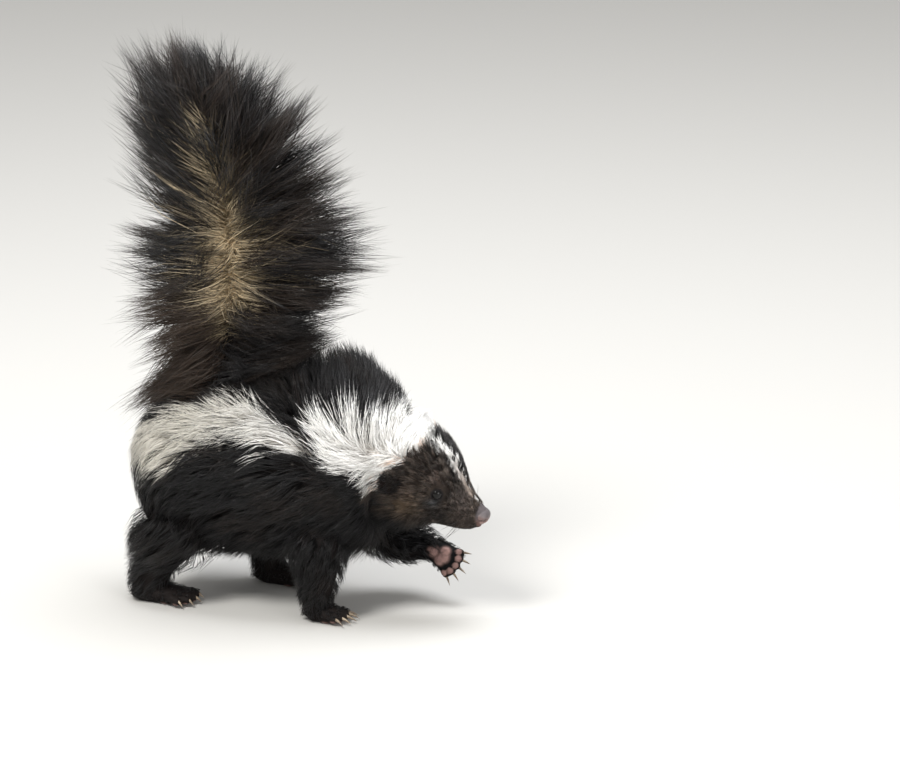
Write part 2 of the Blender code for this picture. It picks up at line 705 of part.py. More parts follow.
def eye_frame(side):
    along, out, above = EYE_PLACE
    turn = math.radians(EYE_TURN)
    forward, left = head_axes()[:2]
    look = forward * math.sin(turn) + left * side * math.cos(turn)
    return head_point(along, side * out, above), look


def ear_stations(side):
    """A ball round an ear, as a loft of two sections, for keeping hair clear of it."""
    along, out, above = EAR_PLACE
    place = head_point(along, side * out, above)
    row = (*place, 0.0, 0.0, *[max(EAR_RADII)] * 3)
    return (row, row)


def leg_lofts():
    return [Loft(stations) for stations in (FORE_RIGHT, FORE_LEFT, HIND_RIGHT, HIND_LEFT)]


def ear_frame(side):
    """An ear's middle and its axes: it stands upright and opens outward and a little forward."""
    along, out, above = EAR_PLACE
    forward, left = axes(0.0, HEAD_YAW - side * EAR_TURN, HEAD_ROLL)[:2]
    return turned(head_point(along, side * out, above), forward, left)


def ear_mesh(side):
    return ellipsoid(EAR_RADII, ear_frame(side), 14, 10)


def ear_cup(side):
    ahead, out, above = EAR_CUP_SHIFT
    shift = Matrix.Translation((ahead, side * out, above))
    return ellipsoid(EAR_CUP, ear_frame(side) @ shift, 12, 8)


def tube(points, radius):
    """A closed round tube through points, from a curve with a bevel and filled caps."""
    curve = bpy.data.curves.new("tube", "CURVE")
    curve.dimensions = "3D"
    spline = curve.splines.new("POLY")
    spline.points.add(len(points) - 1)
    for point, place in zip(spline.points, points):
        point.co = (*place, 1.0)
    curve.bevel_depth = radius
    curve.bevel_resolution = 1
    curve.use_fill_caps = True
    obj = bpy.data.objects.new("tube", curve)
    bpy.context.scene.collection.objects.link(obj)
    seen = obj.evaluated_get(bpy.context.evaluated_depsgraph_get())
    mesh = bpy.data.meshes.new_from_object(seen)
    bm = bmesh.new()
    bm.from_mesh(mesh)
    bmesh.ops.remove_doubles(bm, verts=bm.verts, dist=radius * 0.01)
    bmesh.ops.recalc_face_normals(bm, faces=bm.faces)
    bm.to_mesh(mesh)
    bm.free()
    bpy.data.objects.remove(obj)
    bpy.data.curves.remove(curve)
    return mesh


def lid_mesh(place, look):
    """The rim of skin round an eye."""
    bpy.ops.mesh.primitive_torus_add(
        major_segments=14, minor_segments=6, major_radius=LID["radius"], minor_radius=LID["thick"]
    )
    ring = bpy.context.object
    mesh = ring.data
    bpy.data.objects.remove(ring)
    turn = look.to_track_quat("Z", "Y").to_matrix().to_4x4()
    mesh.transform(Matrix.Translation(place + look * LID["out"]) @ turn)
    return mesh


def mouth_line():
    """Points along the mouth: from the right corner under the nose to the left corner."""
    loft = Loft(head_stations())
    last = len(HEAD) - 1
    low = math.radians(MOUTH_ANGLE)
    steps = [MOUTH_FROM + (last - MOUTH_FROM) * k / MOUTH_POINTS for k in range(MOUTH_POINTS + 1)]
    left = [loft.point(s, low) for s in steps]
    front = [loft.point(last, math.radians(angle)) for angle in MOUTH_FRONT]
    right = [loft.point(s, math.pi - low) for s in reversed(steps)]
    return left + front + right


def make_head(parts, tools):
    head = add_object("head", head_mesh(), parts)
    line = mouth_line()
    added = [tube(line, LIP_RADIUS)]
    for side in (-1.0, 1.0):
        added.append(lid_mesh(*eye_frame(side)))
    combine(head, [add_object("piece", mesh, tools) for mesh in added], "UNION")
    cuts = [tube(line, MOUTH_RADIUS)]
    for side in (-1.0, 1.0):
        place = eye_frame(side)[0]
        cuts.append(ellipsoid([EYE_RADIUS + GAP] * 3, Matrix.Translation(place), 12, 8))
    cuts.append(nose_mesh(GAP))
    combine(head, [cutter(mesh, tools) for mesh in cuts], "DIFFERENCE")
    head.data.materials.clear()
    head.data.materials.append(material("face"))
    return head


def nose_mesh(grow=0.0):
    forward, left = head_axes()[:2]
    radii = [r + grow for r in NOSE_RADII]
    return ellipsoid(radii, turned(head_point(NOSE_PLACE, 0.0, NOSE_ABOVE), forward, left), 14, 8)


def make_features(parts, tools):
    nose = add_object("nose", nose_mesh(), parts)
    forward, left = head_axes()[:2]
    holes = []
    for side in (-1.0, 1.0):
        above = NOSE_ABOVE - NOSTRIL["low"]
        place = head_point(NOSE_PLACE + NOSTRIL["ahead"], side * NOSTRIL["side"], above)
        turn = Matrix.Rotation(side * math.radians(NOSTRIL_TURN), 4, "Z")
        holes.append(ellipsoid(NOSTRIL["radii"], turned(place, forward, left) @ turn, 8, 6))
    combine(nose, [cutter(mesh, tools) for mesh in holes], "DIFFERENCE")
    nose.data.materials.clear()
    nose.data.materials.append(material("nose"))
    for side, word in ((-1.0, "right"), (1.0, "left")):
        place = eye_frame(side)[0]
        eye = add_object("eye_" + word, ellipsoid([EYE_RADIUS] * 3, Matrix.Translation(place), 12, 8), parts)
        eye.data.materials.append(material("eye"))
        ear = add_object("ear_" + word, ear_mesh(side), parts)
        cuts = [grown(mesh) for mesh in (head_mesh(), neck_mesh())]
        cuts.append(ear_cup(side))
        combine(ear, [cutter(mesh, tools) for mesh in cuts], "DIFFERENCE")
        ear.data.materials.clear()
        ear.data.materials.append(material("ear"))


def centre_on_base(parts):
    """Parents every part to one empty, which puts the base's middle at the origin."""
    bpy.context.view_layer.update()
    corners = []
    for obj in parts.objects:
        corners.extend(obj.matrix_world @ v.co for v in obj.data.vertices)
    low = [min(c[i] for c in corners) for i in range(3)]
    high = [max(c[i] for c in corners) for i in range(3)]
    root = bpy.data.objects.new("skunk_root", None)
    members = list(parts.objects)
    parts.objects.link(root)
    root.location = (-(low[0] + high[0]) / 2.0, -(low[1] + high[1]) / 2.0, -low[2])
    for obj in members:
        obj.parent = root
        for polygon in obj.data.polygons:
            polygon.use_smooth = True


def main():
    for obj in list(bpy.data.objects):
        bpy.data.objects.remove(obj)
    parts = bpy.data.collections.new("striped_skunk")
    tools = bpy.data.collections.new("cutters")
    bpy.context.scene.collection.children.link(parts)
    bpy.context.scene.collection.children.link(tools)
    make_torso(parts, tools)
    make_neck(parts, tools)
    make_tail(parts, tools)
    make_head(parts, tools)
    make_features(parts, tools)
    ahead = (Vector((1.0, 0.0, 0.0)), Vector((0.0, 1.0, 0.0)))
    paw_forward = direction(PAW_PITCH, PAW_YAW)
    paw_left = PAW_LEFT - paw_forward * PAW_LEFT.dot(paw_forward)
    lifted = (paw_forward, paw_left.normalized())
    make_leg("leg_fore_right", FORE_RIGHT, 1, ANKLE_FORE_RIGHT, ahead, FORE_FOOT, parts, tools)
    make_leg("leg_fore_left", FORE_LEFT, 2, ANKLE_FORE_LEFT, lifted, FORE_FOOT, parts, tools)
    make_leg("leg_hind_right", HIND_RIGHT, 1, ANKLE_HIND_RIGHT, ahead, HIND_FOOT, parts, tools)
    make_leg("leg_hind_left", HIND_LEFT, 1, ANKLE_HIND_LEFT, ahead, HIND_FOOT, parts, tools)
    centre_on_base(parts)


main()
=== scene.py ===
"""The looks of the striped skunk: one skin, a coat of meshed hair, eyes, nose and claws, round its solids.

Places are in the part's own frame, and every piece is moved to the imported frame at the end. Tables inside
metres() and spine() are in millimetres, all else is in metres. The body's forms are the part's lofts. The
skin is each loft drawn in by the depth of its coat, and the hair grows from the skin out to the loft.
Angles run round a section: 0 is the left side, 90 is up.
"""

import math

import bmesh
import bpy
import numpy as np
from mathutils import Matrix, Vector


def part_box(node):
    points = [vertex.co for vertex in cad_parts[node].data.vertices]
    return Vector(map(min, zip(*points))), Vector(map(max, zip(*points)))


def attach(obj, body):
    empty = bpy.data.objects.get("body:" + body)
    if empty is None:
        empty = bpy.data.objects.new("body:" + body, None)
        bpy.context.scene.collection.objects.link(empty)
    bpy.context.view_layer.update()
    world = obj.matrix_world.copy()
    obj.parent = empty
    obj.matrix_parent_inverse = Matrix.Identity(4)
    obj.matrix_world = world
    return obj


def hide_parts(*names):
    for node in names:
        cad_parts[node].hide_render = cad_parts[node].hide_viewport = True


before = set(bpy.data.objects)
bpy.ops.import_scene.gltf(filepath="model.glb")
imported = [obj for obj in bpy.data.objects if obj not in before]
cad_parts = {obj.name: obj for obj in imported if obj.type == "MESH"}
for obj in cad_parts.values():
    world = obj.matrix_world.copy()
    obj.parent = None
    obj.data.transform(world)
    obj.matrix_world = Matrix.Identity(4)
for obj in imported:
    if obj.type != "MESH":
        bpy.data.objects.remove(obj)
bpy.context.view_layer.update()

SIDES = ((-1.0, "right"), (1.0, "left"))
UP = np.array((0.0, 0.0, 1.0))
ANGLES = (3, 4, 8)  # the columns of a station that are in degrees


def metres(rows, other=()):
    """A table in metres from one in millimetres, but for the columns that hold something else."""
    rows = np.array(rows, float)
    rows[..., [i for i in range(rows.shape[-1]) if i not in other]] /= 1000.0
    return rows


def spine(rows):
    """Stations in the middle plane from their x, z, pitch, half width, height above and depth below."""
    return [(x, 0.0, z, pitch, 0.0, *sizes) for x, z, pitch, *sizes in metres(rows, (2,))]


# The head's frame, as in the part.
HEAD_ORIGIN = np.array((0.090, 0.0, 0.118))
HEAD_PITCH = -25.0
HEAD_YAW = 9.0
HEAD_ROLL = 14.0

# The coat's outline, as in the part. A station is x, y, z, pitch, yaw, half width, height above, depth
# below and perhaps roll.
TORSO = spine((
    (-152, 112, 0, 4, 4, 4), (-147, 115, 0, 31, 30, 34), (-136, 117, 0, 50, 47, 58),
    (-115, 118, 0, 65, 63, 74), (-85, 118, 0, 73, 73, 78), (-45, 118, 0, 75, 84, 76),
    (-5, 120, 0, 73, 93, 76), (25, 122, 4, 68, 97.5, 74), (53.5, 125, 7.4, 61, 98, 70),
))
NECK_MIDDLE = metres((71.5, 2, 124, -9, 5, 49, 74, 58, 7), ANGLES)
# Along the head's axis, centre height, half width, height above, depth below.
HEAD = metres((
    (-12, 8, 40.5, 51, 48), (0, 8, 40, 51.5, 46.5), (12, 9, 38.5, 49.5, 43.5), (24, 10, 35, 44.5, 38.5),
    (36, 10, 30, 38.5, 33.5), (47, 8, 24.3, 31.5, 27.5), (56, 5, 19.5, 23.5, 22), (64, 3, 16, 18.5, 18),
    (72, 2, 12.8, 15, 13.5), (78, 3, 9.5, 11, 9.5),
))
MUZZLE_END = metres((80.6, 4.5, 6.8, 8, 9.8))  # the lips, drawn round under the nose pad
TAIL = spine((
    (-55, 203.6, 103.9, 56, 85, 95), (-55, 250, 96, 82, 108, 112), (-55, 290, 90, 94, 120, 130),
    (-56, 330, 90, 98, 120, 128), (-62, 370, 92, 96, 112, 118), (-74, 410, 95, 87, 98, 100),
    (-86, 445, 97, 70, 80, 84), (-96, 475, 99, 46, 55, 58), (-102, 495, 99, 4, 4, 4),
))
# Legs run down from the body, so their half width is across it, and height and depth are front and back.
LEGS = {
    "fore_right": metres((
        (32, -34, 82, -90, 0, 20, 27, 26), (34, -38, 60, -90, 0, 22, 27, 28),
        (36, -43, 38, -90, 0, 18.5, 20.5, 20.5), (35, -45, 20, -90, 0, 14, 15, 15.5),
        (35, -45, 4, -90, 0, 11.5, 12, 12),
    ), ANGLES),
    "fore_left": metres((
        (42, 34, 86, -75, 8, 20, 22, 22), (50, 40, 66, -65, 8, 22, 24, 26),
        (66, 46, 52, -30, 4, 20, 21, 24), (83, 48, 47.5, -12, -4, 17.5, 16.5, 21),
        (97, 47, 46, -12, -8, 12.5, 12, 15), (107, 46, 43, -20, -10, 8, 9.5, 10.5),
        (112, 45, 41, -24, -10, 4.5, 6, 6),
    ), ANGLES),
    "hind_right": metres((
        (-98, -36, 92, -90, 0, 22, 36, 36), (-95.5, -40, 66, -90, 0, 25, 40.5, 41.5),
        (-101.5, -43, 46, -90, 0, 23.5, 36, 37), (-114, -45, 28, -90, 0, 18, 23.5, 25),
        (-122, -45, 4, -90, 0, 12.5, 15, 16),
    ), ANGLES),
    "hind_left": metres((
        (-62, 36, 92, -90, 0, 22, 28, 28), (-56, 38, 66, -90, 0, 23, 32, 30),
        (-50, 40, 42, -90, 0, 19.5, 25, 25), (-46, 40, 22, -90, 0, 14, 16, 17),
        (-46, 40, 4, -90, 0, 12, 15, 15.5),
    ), ANGLES),
}
PAW_PITCH = -28.0
PAW_YAW = -10.0
PAW_LEFT = np.array((0.0, -0.35, -1.0))
FORE_FOOT = {"length": 0.0155, "width": 0.0110, "height": 0.0085, "toe": 0.0043, "claw": 0.0100}
HIND_FOOT = {"length": 0.0270, "width": 0.0125, "height": 0.0090, "toe": 0.0046, "claw": 0.0060}
ANKLES = {
    "fore_right": ((0.036, -0.045, 0.0065), FORE_FOOT),
    "fore_left": ((0.106, 0.046, 0.0440), FORE_FOOT),
    "hind_right": ((-0.120, -0.045, 0.0070), HIND_FOOT),
    "hind_left": ((-0.043, 0.040, 0.0070), HIND_FOOT),
}
FOOT_SPREAD = 13.0

# How deep the skin lies under the outline from the rump to the nose: ahead, side, top, bottom.
BODY_SKIN = metres((
    (16, 3, 3, 3), (14, 12, 12, 12), (9, 15, 18, 14), (4, 17, 21, 15), (0, 17, 23, 16), (0, 17, 27, 16),
    (0, 17, 33, 16), (0, 17, 38, 16), (0, 16, 38, 16), (0, 12, 24, 13), (0, 6.2, 9, 8), (0, 5.8, 8.2, 7),
    (0, 5, 7.5, 6), (0, 4, 6.5, 5), (0, 3.2, 5, 4.2), (0, 2.6, 3.8, 3.4), (0, 2, 2.8, 2.6),
    (0, 1.5, 2, 1.8), (0, 1.2, 1.4, 1.3), (0, 1, 1, 1), (0, 0.6, 0.6, 0.6),
))
LEG_SKIN = {
    "fore_right": metres((7, 7, 5, 2.8, 1.6)),
    "fore_left": metres((7, 7, 5.5, 4, 2.4, 1.5, 1.2)),
    "hind_right": metres((12, 13, 11, 6, 1.6)),
    "hind_left": metres((10, 10, 8, 3, 1.6)),
}
# The tail's shaft of skin and bone.
SHAFT = spine((
    (-74, 140, 100, 26, 26, 26), (-66, 175, 101, 22, 22, 22), (-60, 210, 99, 16.5, 16.5, 16.5),
    (-57, 250, 94, 13, 13, 13), (-57, 290, 90, 11.5, 11.5, 11.5), (-59, 330, 92, 10, 10, 10),
    (-65, 365, 97, 8, 8, 8), (-74, 395, 104, 6, 6, 6), (-82, 418, 107, 3.5, 3.5, 3.5),
))

EYE_RADIUS = 0.0047
EYE_PLACE = (0.0380, 0.0243, 0.0208)
EYE_TURN = 22.0
EAR_PLACE = (-0.0005, 0.0378, 0.0175)
EAR_SIZE = (0.0085, 0.0036, 0.0115)  # half its length, thickness and height
EAR_TURN = 20.0
NOSE_PLACE = (0.0775, 0.0, 0.0060)
NOSE_RADII = (0.0078, 0.0084, 0.0078)

SEED = 4
UV_PATCH = 0.003  # how wide a hair's patch of the coat's map is
SINK = 0.0012  # how far a hair's root lies in the skin
FLOOR_GAP = 0.0006  # how far the lowest hair stays above the floor
HAIR_FLAT = 0.5  # a hair's thickness over its width
COMB_STEPS = 4
VOXEL = 0.0014
COAT_COLOUR = "Coat"

# Coat colours, linear.
BLACK_ROOT = np.array((0.0040, 0.0036, 0.0038))
BLACK_TIP = np.array((0.0062, 0.0060, 0.0070))
BROWN_TIP = np.array((0.030, 0.019, 0.013))
WHITE_ROOT = np.array((0.92, 0.90, 0.87))
WHITE_TIP = np.array((0.97, 0.965, 0.95))
CREAM_TIP = np.array((0.80, 0.765, 0.68))
TAIL_CREAM = np.array((0.90, 0.74, 0.50))
TAIL_BROWN = np.array((0.060, 0.038, 0.024))
FACE_DARK = np.array((0.022, 0.016, 0.013))
FACE_GREY = np.array((0.125, 0.098, 0.080))
BLAZE_END = np.array((0.46, 0.38, 0.33))
TINGE = np.array((0.88, 0.52, 0.32))
SKIN_DARK = np.array((0.012, 0.0095, 0.009))
SKIN_PALE = np.array((0.72, 0.67, 0.62))
PAD_PINK = np.array((0.56, 0.350, 0.315))
# Near black: the lids' own dark skin, and painted shade in the nostrils and along the mouth's crease.
LID_AND_PAINTED_SHADE = np.array((0.009, 0.008, 0.009))
EAR_DARK = np.array((0.014, 0.010, 0.009))
# The nose pad's top: a grey that is a painted sheen, the sky's reflection on the glossy pad. NOSE_LOW below
# is the pad's own pink-brown.
NOSE_TOP_PAINTED_SHEEN = np.array((0.098, 0.086, 0.090))
NOSE_LOW = np.array((0.215, 0.130, 0.115))


def axes(pitch, yaw, roll):
    """Forward, left and up for pitches, yaws and rolls to the right, in degrees."""
    p, y, r = (np.radians(np.asarray(v, float)) for v in (pitch, yaw, roll))
    forward = np.stack([np.cos(p) * np.cos(y), np.cos(p) * np.sin(y), np.sin(p)], -1)
    level = np.stack([-np.sin(y), np.cos(y), np.zeros_like(y)], -1)
    left = level * np.cos(r)[..., None] + np.cross(forward, level) * np.sin(r)[..., None]
    return forward, left, np.cross(forward, left)


def head_axes():
    return axes(HEAD_PITCH, HEAD_YAW, HEAD_ROLL)


def head_point(along, side, above):
    forward, left, up = head_axes()
    return HEAD_ORIGIN + forward * along + left * side + up * above


def unit(vectors):
    return vectors / np.maximum(np.linalg.norm(vectors, axis=-1, keepdims=True), 1e-9)


def dot(a, b):
    return (a * b).sum(-1)


def mix(a, b, share):
    share = np.asarray(share)[..., None]
    return a * (1.0 - share) + b * share


def smooth(low, high, value):
    t = np.clip((np.asarray(value) - low) / (high - low), 0.0, 1.0)
    return t * t * (3.0 - 2.0 * t)


def between(value, table):
    """A value read between the rows of a table of pairs."""
    return np.interp(value, *zip(*table))


def distance(a, b):
    return np.linalg.norm(a - b, axis=-1)


def bell(value, wide):
    """1 where a value is 0, falling off over the given width."""
    return np.exp(-((value / wide) ** 2))


class Loft:
    """Oval sections read from a smooth curve through stations, at many places at once."""

    def __init__(self, stations):
        self.rows = np.array([row if len(row) == 9 else (*row, 0.0) for row in stations], float)
        self.last = len(self.rows) - 1

    def row(self, s):
        s = np.clip(np.asarray(s, float), 0.0, self.last)
        i = np.minimum(s.astype(int), self.last - 1)
        t = (s - i)[..., None]
        a, b = self.rows[i], self.rows[i + 1]
        before = self.rows[np.maximum(i - 1, 0)]
        after = self.rows[np.minimum(i + 2, self.last)]
        slope_a = np.where((i > 0)[..., None], (b - before) / 2.0, b - a)
        slope_b = np.where((i + 2 <= self.last)[..., None], (after - a) / 2.0, b - a)
        t2, t3 = t * t, t * t * t
        return (
            (2 * t3 - 3 * t2 + 1) * a
            + (t3 - 2 * t2 + t) * slope_a
            + (3 * t2 - 2 * t3) * b
            + (t3 - t2) * slope_b
        )

    def point(self, s, angle):
        row = self.row(s)
        left, above = axes(row[..., 3], row[..., 4], row[..., 8])[1:]
        height = np.where(np.sin(angle) > 0.0, row[..., 6], row[..., 7])
        across = (row[..., 5] * np.cos(angle))[..., None]
        return row[..., :3] + left * across + above * (height * np.sin(angle))[..., None]

    def frame(self, s, angle):
        """Place, unit vectors along and round the loft, the way out, and metres per station and radian."""
        step = 0.02
        low = np.clip(s - step, 0.0, self.last)
        high = np.clip(s + step, 0.0, self.last)
        run = (self.point(high, angle) - self.point(low, angle)) / (high - low)[..., None]
        turn = (self.point(s, angle + step) - self.point(s, angle - step)) / (2.0 * step)
        out = unit(np.cross(turn, run))
        place = self.point(s, angle)
        middle = self.row(s)[..., :3]
        out = out * np.sign(dot(out, place - middle) + 1e-12)[..., None]
        per_s = np.linalg.norm(run, axis=-1)
        per_turn = np.linalg.norm(turn, axis=-1)
        return place, unit(run), unit(turn), out, per_s, np.maximum(per_turn, 0.004)


def drawn_in(stations, depths):
    rows = []
    for station, (ahead, side, top, bottom) in zip(stations, depths):
        x, y, z, pitch, yaw, half_width, up, down, *roll = station
        rows.append((x + ahead, y, z, pitch, yaw, half_width - side, up - top, down - bottom, *roll))
    return tuple(rows)


def head_stations(rows):
    return tuple(
        (*head_point(along, 0.0, above), HEAD_PITCH, HEAD_YAW, half_width, up, down, HEAD_ROLL)
        for along, above, half_width, up, down in rows
    )


def paw_roll():
    """The roll that turns a level paw's left to the lifted one's."""
    forward, level, above = axes(PAW_PITCH, PAW_YAW, 0.0)
    left = PAW_LEFT - forward * dot(PAW_LEFT, forward)
    return math.degrees(math.atan2(dot(left, above), dot(left, level)))


# A foot from heel to toes, in shares of its sizes: ahead of the ankle, half width, height and depth.
FOOT_SHAPE = (
    (-0.55, 0.45, 0.55, 0.60),
    (-0.20, 0.85, 1.00, 0.90),
    (0.25, 0.95, 1.05, 0.92),
    (0.75, 1.05, 0.85, 0.88),
    (1.20, 1.15, 0.60, 0.70),
    (1.55, 1.05, 0.40, 0.50),
)
FOOT_FUR = 0.0022


def foot_turn(name):
    return (PAW_PITCH, PAW_YAW, paw_roll()) if name == "fore_left" else (0.0, 0.0, 0.0)


def foot_stations(name, thick):
    """The loft of a foot, made thicker all round by its fur."""
    ankle, sizes = ANKLES[name]
    pitch, yaw, roll = foot_turn(name)
    forward = axes(pitch, yaw, roll)[0]
    rows = []
    for ahead, width, up, down in FOOT_SHAPE:
        place = np.array(ankle) + forward * ahead * sizes["length"]
        spread = (width * sizes["width"], up * sizes["height"], down * sizes["height"])
        rows.append((*place, pitch, yaw, *(size + thick for size in spread), roll))
    return tuple(rows)


EAR_RINGS = ((-0.95, 0.45), (-0.6, 0.85), (-0.2, 1.0), (0.2, 1.0), (0.55, 0.85), (0.82, 0.58), (0.98, 0.20))


def ear_stations(side, thick):
    """An ear standing up from the head, as a loft from its root to its tip."""
    along, out, above = EAR_PLACE
    middle = head_point(along, side * out, above)
    up = axes(0.0, HEAD_YAW, HEAD_ROLL)[2]
    rows = []
    for level, size in EAR_RINGS:
        place = middle + up * EAR_SIZE[2] * level
        long = EAR_SIZE[0] * size + thick
        rows.append((*place, 90.0, HEAD_YAW - side * EAR_TURN, EAR_SIZE[1] * size + thick, long, long, 0.0))
    return tuple(rows)


def make_lofts():
    """For each region the skin's loft and that of the tips of its coat."""
    body = (*TORSO, NECK_MIDDLE, *head_stations(HEAD), *head_stations((MUZZLE_END,)))
    lofts = {"body": (Loft(drawn_in(body, BODY_SKIN)), Loft(body)), "tail": (Loft(SHAFT), Loft(TAIL))}
    for name, stations in LEGS.items():
        depths = [(0.0, depth, depth, depth) for depth in LEG_SKIN[name]]
        lofts[name] = (Loft(drawn_in(stations, depths)), Loft(stations))
        lofts["foot_" + name] = (Loft(foot_stations(name, 0.0)), Loft(foot_stations(name, FOOT_FUR)))
    for side, word in SIDES:
        lofts["ear_" + word] = (Loft(ear_stations(side, 0.0)), Loft(ear_stations(side, 0.002)))
    return lofts


LOFTS = make_lofts()


def packed_shift():
    """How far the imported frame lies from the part's own, read from the right eye's place."""
    low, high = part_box("eye_right")
    along, out, above = EYE_PLACE
    return (np.array(low) + np.array(high)) / 2.0 - head_point(along, -out, above)


SHIFT = packed_shift()


# Markings

def ripple(place, size, seed):
    """A smooth random number about -1 to 1 at each place, that changes over about the given size."""
    rng = np.random.default_rng(seed)
    total = np.zeros(place.shape[:-1])
    for _ in range(6):
        way = unit(rng.normal(size=3)) * 2.0 * math.pi / size * rng.uniform(0.6, 1.5)
        total = total + np.sin(place @ way + rng.uniform(0.0, 2.0 * math.pi))
    return total / 2.4


# That view's two axes, for the right side: x, how far y runs to the right, and z.
VIEW_AHEAD = (0.927, 0.375, 0.0)
VIEW_UP = (-0.0971, 0.240, 0.966)


def leaning_view(place):
    """Two lengths that the side markings are laid out in: towards the head, and up, seen a little from
    above. Both sides of the animal are marked alike."""
    x, y, z = place[..., 0], np.abs(place[..., 1]), place[..., 2]
    return VIEW_AHEAD[0] * x - VIEW_AHEAD[1] * y, VIEW_UP[2] * z + VIEW_UP[0] * x - VIEW_UP[1] * y


# The white stripe's upper and lower edges, as pairs of those two lengths, from the rump to the forehead.
STRIPE_TOP = metres((
    (-150, 150), (-113, 160), (-80, 164), (-51, 168), (-37, 168), (-27, 164), (-6, 152), (6, 148),
    (14, 150), (36, 150), (51, 147), (61, 143), (73, 151), (86, 157), (98, 156), (111, 147), (140, 120),
))
STRIPE_BOTTOM = metres((
    (-150, 139), (-121, 118), (-113, 115), (-101, 119), (-80, 130), (-68, 136), (-42, 139), (-24, 129),
    (-6, 122), (19, 124), (36, 117), (43, 109), (51, 106), (61, 107), (75, 118), (94, 130), (107, 135),
    (140, 120),
))
# The dark wedge between the nape's patch and the stripe behind it: its middle and half width by height.
WEDGE = metres(((110, 28), (120, 22), (168, -14), (190, -31)))
WEDGE_HALF = metres(((115, 3), (130, 6.5), (166, 12.5)))


def stripe(place, spread):
    """How white the coat is from 0 to 1, with a ragged edge of the given spread."""
    ahead, height = leaning_view(place)
    ragged = 0.0045 * ripple(place, 0.022, 11) + 0.003 * ripple(place, 0.009, 12)
    ragged = ragged * (1.0 - 0.6 * smooth(-0.01, 0.02, ahead))
    inside = np.minimum(between(ahead, STRIPE_TOP) - height, height - between(ahead, STRIPE_BOTTOM))
    inside_wedge = between(height, WEDGE_HALF) - np.abs(ahead - between(height, WEDGE) + ragged * 0.5)
    return smooth(-spread, spread, inside + ragged) * (1.0 - 0.95 * smooth(-0.003, 0.003, inside_wedge))


def head_places(place):
    """Along the head's axis, side and height above it."""
    forward, left, up = head_axes()
    offset = place - HEAD_ORIGIN
    return offset @ forward, offset @ left, offset @ up


def one_side(place):
    """Places in the head's frame, with its right side laid over its left."""
    along, side, above = head_places(place)
    return np.stack([along, np.abs(side), above], -1)


def black_hair(rng, place, count):
    """Root and tip colours of black hair, here and there browner or greyer."""
    brown = smooth(0.2, 1.4, ripple(place, 0.05, 21) + rng.normal(0.0, 0.6, count))
    tip = mix(BLACK_TIP, BROWN_TIP, brown * 0.40)
    tip = tip * rng.lognormal(0.0, 0.45, count)[:, None]
    return np.repeat(BLACK_ROOT[None], count, 0), tip


def white_hair(rng, place, count):
    """Root and tip colours of white hair, greyer and creamier towards the rump."""
    ahead = leaning_view(place)[0]
    rear = smooth(0.01, -0.10, ahead)
    tip = mix(WHITE_TIP, CREAM_TIP, np.clip(rear * 0.8 + rng.normal(0.0, 0.10, count), 0.0, 1.0))
    tip = tip * np.clip(rng.normal(0.98, 0.05, count), 0.7, 1.04)[:, None]
    return WHITE_ROOT * tip / WHITE_TIP, np.clip(tip, 0.0, 0.97)


def chosen(white, pale, dark):
    return [np.where(white[:, None], a, b) for a, b in zip(pale, dark)]


# The white crown's edge at the back of the head: half width in the head's frame against length along it.
CROWN_EDGE = metres(((-20, 43), (-5.6, 35.8), (3.1, 25.3), (8.4, 19), (12, 8), (13, 0)))
# The blaze: half its width, and how far its middle lies to the right, against length along the head.
BLAZE_HALF = metres(((14.5, 2.4), (19, 3.6), (30, 3.6), (44, 2.8), (64, 1.4), (68.5, -3)))
BLAZE_RIGHT = metres(((10, 6), (18.6, 6.2), (42.6, 6), (65.8, 2.4)))
# Patches of other colours on each cheek: along, out to the side and above, how wide, colour and how strong.
FACE_PATCHES = (
    ((0.0186, 0.0356, -0.0005), 0.0125, (0.180, 0.125, 0.078), 0.75),  # tan cheek
    ((0.0140, 0.0375, 0.0150), 0.0120, (0.120, 0.088, 0.070), 0.70),
    ((0.0328, 0.0252, 0.0335), 0.0048, (0.170, 0.120, 0.100), 0.75),  # brow
    ((0.0400, 0.0276, 0.0125), 0.0058, (0.085, 0.096, 0.108), 0.60),  # under the eye
    ((0.0574, 0.0127, 0.0205), 0.0085, (0.150, 0.125, 0.115), 0.60),
    ((0.0620, 0.0160, 0.0100), 0.0120, (0.105, 0.082, 0.072), 0.55),
    ((0.0465, 0.0239, 0.0000), 0.0100, (0.016, 0.013, 0.013), 0.80),  # dark jaw
    ((0.0200, 0.0272, 0.0380), 0.0130, (0.020, 0.013, 0.010), 0.80),
    ((0.0435, 0.0210, 0.0270), 0.0060, (0.022, 0.015, 0.012), 0.70),
    ((-0.0003, 0.0384, 0.0224), 0.0100, (0.010, 0.007, 0.006), 0.90),  # the ear
    ((-0.0060, 0.0390, -0.0050), 0.0120, (0.030, 0.021, 0.016), 0.90),
)


def crown(place):
    along, side, above = head_places(place)
    edge = between(along, CROWN_EDGE) - np.abs(side) + 0.0018 * ripple(place, 0.008, 31)
    return np.where(above > 0.004, edge, -0.01)


def body_paint(rng, place):
    """The stripes of the body, and the white crown where the neck meets the head."""
    count = len(place)
    ahead = leaning_view(place)[0]
    streak = smooth(0.02, -0.06, ahead) * 0.20 * smooth(-0.2, 0.9, ripple(place, 0.012, 13))
    on_crown = smooth(-0.0012, 0.0012, crown(place)) * smooth(-0.030, -0.012, head_places(place)[0])
    white = rng.uniform(0.0, 1.0, count) < np.maximum(stripe(place, 0.004) - streak, on_crown)
    return chosen(white, white_hair(rng, place, count), black_hair(rng, place, count))


